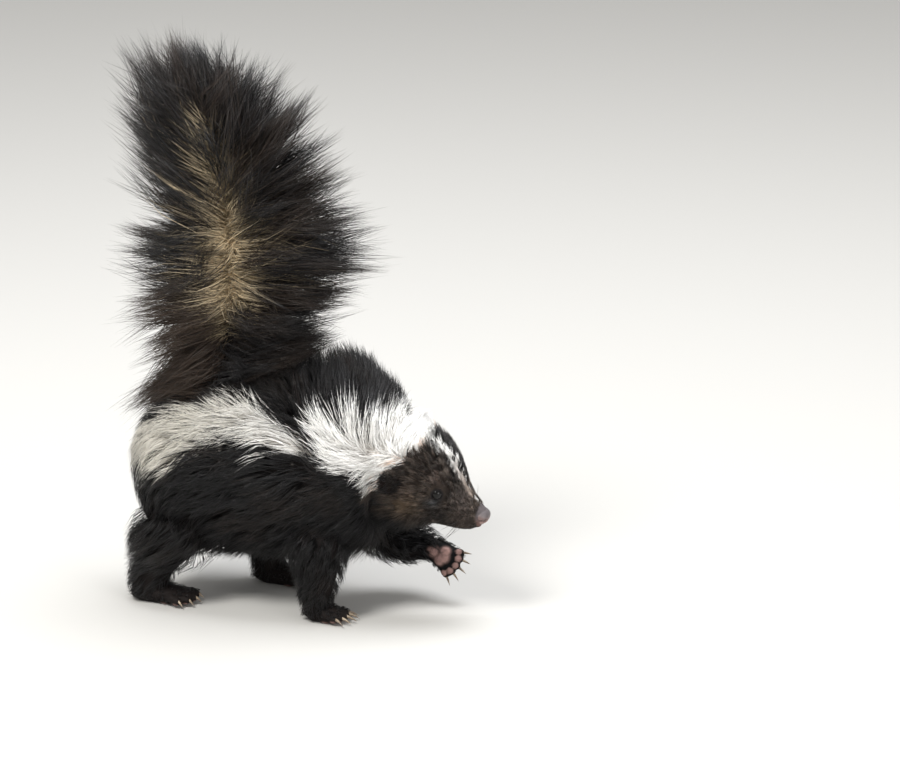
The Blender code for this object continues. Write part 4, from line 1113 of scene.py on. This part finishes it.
def make_whiskers(rng, material):
    """Fine stiff hairs from the sides of the muzzle, a few on the chin and over the eyes."""
    forward, left, up = head_axes()
    levels = np.linspace(0.0, 1.0, 6)
    lines = []
    for side in (-1.0, 1.0):
        for along, across, above, length, tilt in WHISKERS:
            root = head_point(along - 0.001, side * (across - 0.001), above)
            way = unit(left * side * 0.95 + up * tilt + forward * -0.10 + rng.normal(0.0, 0.06, 3))
            fall = -UP * 0.18 - forward * 0.30
            lines.append([root + way * length * t + fall * length * t * t for t in levels])
    centres = np.array(lines)
    count = len(centres)
    shade = np.repeat((FACE_DARK * 0.8)[None], count, 0)
    blend = np.repeat(levels[None], count, 0)
    place = np.stack([np.arange(count) / count, np.full(count, 0.5)], -1)
    coat = Coat()
    facing, width = unit(rng.normal(size=(count, 3))), np.full(count, WHISKER_WIDTH)
    coat.add(centres, facing, width, 1.0, shade, shade * 2.0, blend, place)
    coat.piece("whiskers", material, "face_fur")


# Materials

def new_material(name, roughness, specular):
    material = bpy.data.materials.new(name)
    material.use_nodes = True
    tree = material.node_tree
    shader = tree.nodes["Principled BSDF"]
    shader.inputs["Roughness"].default_value = roughness
    shader.inputs["Specular IOR Level"].default_value = specular
    return material, tree, shader


def add_texture(tree, kind, scale):
    """A texture in the object's own coordinates."""
    texture = tree.nodes.new(kind)
    texture.inputs["Scale"].default_value = scale
    place = tree.nodes.new("ShaderNodeTexCoord")
    tree.links.new(place.outputs["Object"], texture.inputs["Vector"])
    return texture


def add_noise(tree, scale):
    noise = add_texture(tree, "ShaderNodeTexNoise", scale)
    noise.inputs["Detail"].default_value = 3.0
    return noise.outputs["Fac"]


def add_bump(tree, shader, height, strength, distance):
    bump = tree.nodes.new("ShaderNodeBump")
    bump.inputs["Strength"].default_value = strength
    bump.inputs["Distance"].default_value = distance
    tree.links.new(height, bump.inputs["Height"])
    tree.links.new(bump.outputs["Normal"], shader.inputs["Normal"])


def painted_material(name, roughness, specular, grain, least, most):
    """Colour from the mesh, made darker and lighter by a fine grain."""
    material, tree, shader = new_material(name, roughness, specular)
    colour = tree.nodes.new("ShaderNodeAttribute")
    colour.attribute_name = COAT_COLOUR
    noise = add_noise(tree, grain)
    span = tree.nodes.new("ShaderNodeMapRange")
    span.inputs["To Min"].default_value = least
    span.inputs["To Max"].default_value = most
    tree.links.new(noise, span.inputs["Value"])
    scale = tree.nodes.new("ShaderNodeVectorMath")
    scale.operation = "SCALE"
    tree.links.new(colour.outputs["Color"], scale.inputs[0])
    tree.links.new(span.outputs["Result"], scale.inputs["Scale"])
    tree.links.new(scale.outputs["Vector"], shader.inputs["Base Color"])
    return material, tree, shader, noise


def hair_material():
    material, _, shader, _ = painted_material("hair", 0.38, 0.34, 900.0, 0.85, 1.10)
    shader.inputs["Sheen Weight"].default_value = 0.03
    shader.inputs["Sheen Roughness"].default_value = 0.4
    return material


def skin_material():
    material, tree, shader, noise = painted_material("skin", 0.70, 0.10, 420.0, 0.65, 1.35)
    add_bump(tree, shader, noise, 0.5, 0.0008)
    return material


def mottled_material(name, roughness, specular, grain, dark, pale):
    """Two colours in soft patches."""
    material, tree, shader = new_material(name, roughness, specular)
    ramp = tree.nodes.new("ShaderNodeValToRGB")
    for element, position, colour in zip(ramp.color_ramp.elements, (0.32, 0.68), (dark, pale)):
        element.position = position
        element.color = (*colour, 1.0)
    tree.links.new(add_noise(tree, grain), ramp.inputs["Fac"])
    tree.links.new(ramp.outputs["Color"], shader.inputs["Base Color"])
    return material


def nose_material():
    material, tree, shader, _ = painted_material("nose", 0.38, 0.50, 300.0, 0.85, 1.15)
    cells = add_texture(tree, "ShaderNodeTexVoronoi", 1500.0)
    add_bump(tree, shader, cells.outputs["Distance"], 0.35, 0.0003)
    return material


def eye_material():
    return mottled_material("eye", 0.04, 0.30, 700.0, (0.0005, 0.0004, 0.0004), (0.0020, 0.0013, 0.0010))


def claw_material():
    return mottled_material("claw", 0.35, 0.5, 300.0, (0.12, 0.085, 0.06), (0.36, 0.29, 0.21))


# Skin

def tube_faces(rings, ring):
    """Faces round a tube of rings, with both ends closed."""
    faces = []
    for k in range(rings - 1):
        for j in range(ring):
            n = (j + 1) % ring
            faces.append((k * ring + j, k * ring + n, (k + 1) * ring + n, (k + 1) * ring + j))
    faces.append(tuple(reversed(range(ring))))
    faces.append(tuple(range((rings - 1) * ring, rings * ring)))
    return faces


def loft_grid(loft, ring, steps):
    count = loft.last * steps + 1
    s = np.repeat(np.arange(count) / steps, ring)
    turn = np.tile(np.arange(ring) * 2.0 * math.pi / ring, count)
    return s, turn, tube_faces(count, ring)


def loft_shell(loft, ring, steps):
    s, turn, faces = loft_grid(loft, ring, steps)
    return loft.point(s, turn), faces


def ball(radii, matrix, segments, rings):
    bm = bmesh.new()
    bmesh.ops.create_uvsphere(bm, u_segments=segments, v_segments=rings, radius=1.0)
    bmesh.ops.transform(bm, matrix=matrix @ Matrix.Diagonal((*radii, 1.0)), verts=bm.verts)
    bm.verts.index_update()
    points = np.array([v.co for v in bm.verts])
    faces = [tuple(v.index for v in face.verts) for face in bm.faces]
    bm.free()
    return points, faces


def placed(place, forward, left, up):
    """A matrix whose X runs forward, Y to the left and Z up."""
    turn = Matrix([Vector(forward), Vector(left), Vector(up)]).transposed().to_4x4()
    return Matrix.Translation(Vector(place)) @ turn


def mesh_object(name, shells):
    points, faces = [], []
    start = 0
    for some_points, some_faces in shells:
        points.append(np.asarray(some_points))
        faces.extend(tuple(start + i for i in face) for face in some_faces)
        start += len(some_points)
    mesh = bpy.data.meshes.new(name)
    mesh.from_pydata((np.concatenate(points) + SHIFT).tolist(), [], faces)
    bm = bmesh.new()
    bm.from_mesh(mesh)
    bmesh.ops.recalc_face_normals(bm, faces=bm.faces)
    bm.to_mesh(mesh)
    bm.free()
    return linked(name, mesh)


def feet():
    """Each foot: ankle, axes and sizes."""
    for name, (ankle, sizes) in ANKLES.items():
        yield np.array(ankle), axes(*foot_turn(name)), sizes


def toes(ankle, way, sizes):
    """Each toe of a foot: its middle, heading and the foot's up."""
    forward, left, up = way
    pad = ankle + forward * sizes["length"] * 0.45
    for step in range(-2, 3):
        turn = math.radians(FOOT_SPREAD * step)
        heading = forward * math.cos(turn) + left * math.sin(turn)
        reach = sizes["length"] * (1.0 - 0.05 * step * step)
        middle = pad + heading * reach + left * (step * sizes["width"] * 0.24) - up * 0.0010
        yield middle, heading, up


# The palm's pads: along and across as shares of the foot's length and width, and size.
PALM_PADS = ((0.10, 0.15, 0.0036), (0.66, 0.46, 0.0032), (0.78, 0.0, 0.0036), (0.66, -0.46, 0.0032))
PALM_LEAST = 0.003  # larger pads than this are the palm's, smaller ones the toes'


def pads(ankle, way, sizes):
    """The bare pads under a foot: a place and a size for each."""
    forward, left, up = way
    for along, across, size in PALM_PADS:
        place = ankle + forward * sizes["length"] * along + left * sizes["width"] * across
        yield place - up * (sizes["height"] * 0.90 - size * 0.25), size
    for middle, heading, _ in toes(ankle, way, sizes):
        yield middle - up * sizes["toe"] * 0.50 + heading * 0.001, sizes["toe"] * 0.55


def foot_shells(ankle, way, sizes):
    forward, left, up = way
    shells = []
    for middle, heading, above in toes(ankle, way, sizes):
        toe = sizes["toe"] - 0.0004
        side = np.cross(above, heading)
        for back, rise, long in ((0.0, 0.0, 1.45), (1.5, 0.25, 1.6)):
            place = placed(middle - heading * toe * back + above * toe * rise, heading, side, above)
            shells.append(ball((toe * long, toe * 0.80, toe * 0.95), place, 12, 8))
    for place, size in pads(ankle, way, sizes):
        shells.append(ball((size, size, size * 0.7), placed(place, forward, left, up), 12, 8))
    return shells


def ear_shell(side, word):
    """An ear hollowed on its outer face."""
    loft = LOFTS["ear_" + word][0]
    s, turn, faces = loft_grid(loft, 24, 3)
    level = s / loft.last
    outward = np.cos(turn) * side
    hollow = np.where(outward > 0.0, outward * (1.0 - np.abs(np.sin(turn)) ** 4), 0.0)
    hollow = hollow * smooth(0.0, 0.25, level) * smooth(1.0, 0.75, level)
    row = loft.row(s)
    left = axes(row[:, 3], row[:, 4], row[:, 8])[1]
    return loft.point(s, turn) - left * (side * hollow * 0.0052)[:, None], faces


MOUND = (0.0073, 0.0120, 0.0100)  # towards the eye's look, across and up
MOUND_BACK = 0.0042


def eye_place(side):
    along, out, above = EYE_PLACE
    return head_point(along, side * out, above)


def eye_look(side):
    forward, left, _ = head_axes()
    turn = math.radians(EYE_TURN)
    return forward * math.sin(turn) + left * side * math.cos(turn)


# A lid's section: height over the eyeball, and degrees beyond its margin, round a closed loop.
LID_SECTION = metres(((0.1, 0), (0.4, 1), (0.6, 6), (0.5, 14), (0.1, 26), (-1, 34), (-1.2, 8)), (1,))
LID_OPENING = (62.0, 54.0)  # degrees from the eye's look to its corners, and to the lids' middles


def lid_shell(side):
    """Lids round an almond opening, over the eyeball."""
    look = eye_look(side)
    forward = head_axes()[0]
    ahead = unit(forward - look * dot(forward, look))
    up = np.cross(ahead, look) * -side
    points, faces = [], []
    around = 40
    for i in range(around):
        a = 2.0 * math.pi * i / around
        wide, high = LID_OPENING
        corner = abs(math.cos(a)) ** 5
        margin = 1.0 / math.hypot(math.cos(a) / wide, math.sin(a) / high) + 5.0 * corner
        rim = ahead * math.cos(a) + up * math.sin(a)
        for height, beyond in LID_SECTION:
            angle = math.radians(margin + beyond)
            way = look * math.cos(angle) + rim * math.sin(angle)
            points.append(eye_place(side) + way * (EYE_RADIUS + height))
    section = len(LID_SECTION)
    for i in range(around):
        n = (i + 1) % around
        for j in range(section):
            m = (j + 1) % section
            faces.append((i * section + j, n * section + j, n * section + m, i * section + m))
    return points, faces


def eye_mound(side):
    """The rise of the skin that an eye is set in."""
    look = eye_look(side)
    across = unit(np.cross(head_axes()[2], look))
    middle = eye_place(side) - look * MOUND_BACK
    return ball(MOUND, placed(middle, look, across, np.cross(look, across)), 24, 16)


# Soft forms of the face: along, side, above, how wide, and how far out or in.
FACE_FORMS = metres((
    (33, 21.5, 31.5, 6, 1), (66, 12.5, -2, 6.5, 1.2), (52, 17, 8, 6, -0.8), (18, 33, -10, 14, 1.6),
    (72, 0, -11, 5, 0.6),
))
# The mouth's line on each side: along, side and above.
MOUTH = metres((
    (79.5, 2, -6), (76, 7.5, -6.5), (70, 11, -7.5), (62, 14, -10), (53, 18, -13.5), (46, 21.5, -16.5),
))


def mouth_distance(places):
    spot = one_side(places)
    nearest = np.full(len(places), 1.0)
    for a, b in zip(MOUTH[:-1], MOUTH[1:]):
        t = np.clip(((spot - a) @ (b - a)) / dot(b - a, b - a), 0.0, 1.0)
        nearest = np.minimum(nearest, distance(spot - a, (b - a) * t[:, None]))
    return nearest


def shape_face(places, normals):
    """Places moved in and out for the soft forms of the face, and for the mouth's groove and lips."""
    spot = one_side(places)
    move = np.zeros(len(places))
    for *middle, wide, out in FACE_FORMS:
        move += out * bell(distance(spot, middle), wide)
    near = mouth_distance(places)
    move += 0.0005 * bell(near - 0.0028, 0.0014) - 0.0009 * bell(near, 0.0011)
    return places + normals * (move * smooth(-0.03, 0.0, spot[:, 0]))[:, None]


def skin_colours(places):
    """The coat's markings on the skin under it, dark lids, a dark mouth line that is the lips' own skin
    with painted shade in the mouth's crease, and bare pads on the soles.
    """
    along, side, above = head_places(places)
    on_head = smooth(-0.020, -0.010, along) * smooth(0.085, 0.070, np.hypot(side, above))
    colours = mix(SKIN_DARK, SKIN_PALE, stripe(places + np.array((-0.010, 0.0, 0.0)), 0.004))
    tail = smooth(0.200, 0.215, places[:, 2]) * smooth(0.03, -0.01, places[:, 0])
    colours = mix(colours, SKIN_DARK, tail)
    colours = mix(colours, TAIL_CREAM * 0.7, smooth(0.05, 0.30, between(places[:, 2], CREAM_SHARE) * tail))
    colours = mix(colours, SKIN_DARK, smooth(0.055, 0.045, places[:, 2]))
    white, pale, dark = head_shades(places)
    colours = mix(colours, mix(dark * 0.50, pale * 0.80, white), on_head)
    for side, word in SIDES:
        colours = mix(colours, LID_AND_PAINTED_SHADE, smooth(0.0066, 0.0054, distance(places, eye_place(side))))
        ear = LOFTS["ear_" + word][0].row(1.0)[:3]
        colours = mix(colours, EAR_DARK, smooth(0.0140, 0.0110, distance(places, ear)))
    nose = distance(places, head_point(*NOSE_PLACE))
    # Round the nose pad the skin takes the pad's colours: darker low down, and on top the painted sheen of
    # the pad's top.
    rim = mix(NOSE_LOW * 0.6, NOSE_TOP_PAINTED_SHEEN, smooth(0.002, 0.009, above))
    colours = mix(colours, rim, smooth(0.0108, 0.0098, nose) * smooth(0.070, 0.073, along))
    # The mouth line: the lips' dark skin, with painted shade in the mouth's crease.
    colours = mix(colours, LID_AND_PAINTED_SHADE * 0.5, smooth(0.0016, 0.0008, mouth_distance(places)))
    for ankle, way, sizes in feet():
        for place, size in pads(ankle, way, sizes):
            gap = distance(places, place) / size
            below = smooth(-0.1, -0.5, (places - ankle) @ way[2] / sizes["height"])
            palm = size > PALM_LEAST
            colours = mix(colours, PAD_PINK * (1.0 if palm else 0.5), smooth(1.35, 1.05, gap) * below)
            colours = mix(colours, PAD_PINK * 0.30, 0.7 * smooth(1.9, 1.3, gap) * below * palm)
    return colours


def vertex_values(mesh, what):
    values = np.empty(len(mesh.vertices) * 3)
    mesh.vertices.foreach_get(what, values)
    return values.reshape(-1, 3)


def make_skin():
    """One skin of all the lofts, joined and softened, with the face's forms, and lids of their own."""
    regions = [("body", 56, 6), ("tail", 20, 6), *((name, 24, 5) for name in LEGS)]
    regions += [("foot_" + name, 24, 4) for name in LEGS]
    shells = [loft_shell(LOFTS[region][0], ring, steps) for region, ring, steps in regions]
    for ankle, way, sizes in feet():
        shells.extend(foot_shells(ankle, way, sizes))
    for side, word in SIDES:
        shells.append(ear_shell(side, word))
        shells.append(eye_mound(side))
    skin = mesh_object("skin", shells)
    remesh = skin.modifiers.new("join", "REMESH")
    remesh.mode = "VOXEL"
    remesh.voxel_size = VOXEL
    soften = skin.modifiers.new("soften", "SMOOTH")
    soften.factor = 0.5
    soften.iterations = 3
    joined = bpy.data.meshes.new_from_object(skin.evaluated_get(bpy.context.evaluated_depsgraph_get()))
    bpy.data.objects.remove(skin)
    places = shape_face(vertex_values(joined, "co") - SHIFT, vertex_values(joined, "normal"))
    places[:, 2] = np.maximum(places[:, 2], 0.0002)
    faces = [tuple(polygon.vertices) for polygon in joined.polygons]
    skin = mesh_object("skin", [(places, faces), lid_shell(-1.0), lid_shell(1.0)])
    colour_vertices(skin.data, skin_colours(vertex_values(skin.data, "co") - SHIFT))
    dress(
        skin, skin_material(), "black_fur", "head", "neck", "torso", "tail", "leg_fore_left",
        "leg_fore_right", "leg_hind_left", "leg_hind_right", "ear_left", "ear_right",
    )


def make_eyes():
    """Eyeballs, each with a slight bulge where it looks out."""
    material = eye_material()
    for side, word in SIDES:
        look = eye_look(side)
        across = unit(np.cross(UP, look))
        middle = eye_place(side)
        turned = placed(middle, look, across, np.cross(look, across))
        points, faces = ball((EYE_RADIUS,) * 3, turned, 32, 20)
        bulge = np.maximum((points - middle) @ look / EYE_RADIUS, 0.0)
        points = middle + (points - middle) * (1.0 + 0.04 * bulge**3)[:, None]
        dress(mesh_object("eyeball_" + word, [(points, faces)]), material, "eye", "eye_" + word)


def make_nose():
    """The nose pad: rounded, grooved down its middle, with a comma-shaped nostril on each side."""
    forward, left, up = head_axes()
    points, faces = ball((1.0, 1.0, 1.0), Matrix.Identity(4), 72, 54)
    x, y, z = points.T
    ahead = np.maximum(x, 0.0)
    out = np.abs(y)
    groove = 0.10 * bell(y, 0.08) * ahead * np.where(z < 0.35, 1.0, 0.3)
    hole = bell(out - 0.60, 0.17) * bell(z + 0.06, 0.22) * smooth(0.1, 0.5, x)
    slit = bell(x - 0.22, 0.30) * bell(z + 0.02 - 0.35 * (x - 0.5), 0.10) * smooth(0.6, 0.85, out)
    wing = 0.07 * bell(out - 0.80, 0.25) * bell(z - 0.30, 0.22)
    tuck = 0.16 * smooth(-0.1, -0.9, z) * ahead + 0.10 * ahead**3
    length, width, height = NOSE_RADII
    points = (
        head_point(*NOSE_PLACE)
        + forward * (x * length * (1.0 - groove - 0.50 * hole - 0.15 * slit - tuck + wing))[:, None]
        + left * (y * width * (1.0 - groove - 0.35 * hole - 0.30 * slit + wing))[:, None]
        + up * (z * height * (1.0 - 0.16 * np.maximum(z, 0.0)))[:, None]
    )
    nose = mesh_object("nose_pad", [(points, faces)])
    # Pink-brown below, grey on top: the grey top is a painted sheen, the sky's reflection on the pad.
    colours = mix(NOSE_LOW, NOSE_TOP_PAINTED_SHEEN, smooth(-0.25, 0.75, z))
    # The nostrils are painted near black: painted shade in their hollows.
    inside = np.clip(2.0 * np.maximum(hole, slit) - 0.40, 0.0, 1.0)
    colour_vertices(nose.data, mix(colours, LID_AND_PAINTED_SHADE, inside))
    dress(nose, nose_material(), "bare_skin", "nose")


def make_claws():
    """Curved claws, one to each toe."""
    rings, sides = 8, 8
    shells = []
    for ankle, way, sizes in feet():
        for middle, heading, up in toes(ankle, way, sizes):
            toe = sizes["toe"]
            start = middle + heading * toe * 0.75 + up * toe * 0.15
            side = np.cross(up, heading)
            points = []
            for t in np.linspace(0.0, 1.0, rings):
                centre = start + heading * sizes["claw"] * t - up * toe * (0.15 * t + 0.70 * t * t)
                radius = toe * 0.32 * (1.0 - t**1.6) + 0.00012
                for a in np.arange(sides) * 2.0 * math.pi / sides:
                    points.append(centre + side * radius * 0.75 * math.cos(a) + up * radius * math.sin(a))
            shells.append((points, tube_faces(rings, sides)))
    dress(mesh_object("claws", shells), claw_material(), "claw")


# Studio

CAMERA_BACK = np.array((0.362, -0.896, 0.259))
CAMERA_TARGET = np.array((0.1009, 0.0906, 0.1724))
CAMERA_DISTANCE = 4.25
CAMERA_LENS = 200.0


# Lights: name, place, width, watts and colour.
LIGHTS = (
    ("key", (-0.6, -1.8, 2.6), 1.2, 96.0, (1.0, 0.98, 0.94)),
    ("top", (0.1, 0.5, 2.8), 1.8, 84.0, (0.97, 0.98, 1.0)),
    ("front", (2.2, -1.2, 0.9), 1.2, 22.0, (1.0, 0.98, 0.96)),
)
LIGHT_AIM = Vector((0.0, 0.0, 0.15))
FLOOR_SIZE = 60.0
FLOOR_COLOUR = (0.50, 0.495, 0.48, 1.0)
WORLD_COLOUR = (1.0, 0.99, 0.97, 1.0)
WORLD_STRENGTH = 0.55


def add_light(name, place, size, energy, colour):
    light = bpy.data.lights.new(name, "AREA")
    light.shape = "DISK"
    light.size = size
    light.energy = energy
    light.color = colour
    obj = linked(name, light)
    obj.location = place
    obj.rotation_mode = "QUATERNION"
    obj.rotation_quaternion = (LIGHT_AIM - Vector(place)).to_track_quat("-Z", "Y")


def make_studio():
    bpy.ops.mesh.primitive_plane_add(size=FLOOR_SIZE, location=(0.0, 0.0, 0.0))
    floor = bpy.context.object
    floor.name = "floor"
    material, _, shader = new_material("floor", 0.85, 0.3)
    shader.inputs["Base Color"].default_value = FLOOR_COLOUR
    floor.data.materials.append(material)
    world = bpy.data.worlds.new("studio")
    world.use_nodes = True
    background = world.node_tree.nodes["Background"]
    background.inputs["Color"].default_value = WORLD_COLOUR
    background.inputs["Strength"].default_value = WORLD_STRENGTH
    bpy.context.scene.world = world
    for light in LIGHTS:
        add_light(*light)
    bpy.context.scene.view_settings.view_transform = "Standard"


def make_camera():
    camera = bpy.data.cameras.new("camera")
    camera.lens = CAMERA_LENS
    camera.sensor_width = 36.0
    camera.clip_end = 100.0
    obj = linked("camera", camera)
    back = unit(CAMERA_BACK)
    obj.location = CAMERA_TARGET + SHIFT + back * CAMERA_DISTANCE
    obj.rotation_mode = "QUATERNION"
    obj.rotation_quaternion = Vector(-back).to_track_quat("-Z", "Y")
    bpy.context.scene.camera = obj


def main():
    rng = np.random.default_rng(SEED)
    make_studio()
    make_camera()
    make_skin()
    make_eyes()
    make_nose()
    make_claws()
    hair = hair_material()
    make_body_coats(rng, hair)
    make_leg_coat(rng, hair)
    make_tail_coat(rng, hair)
    make_whiskers(rng, hair)


main()
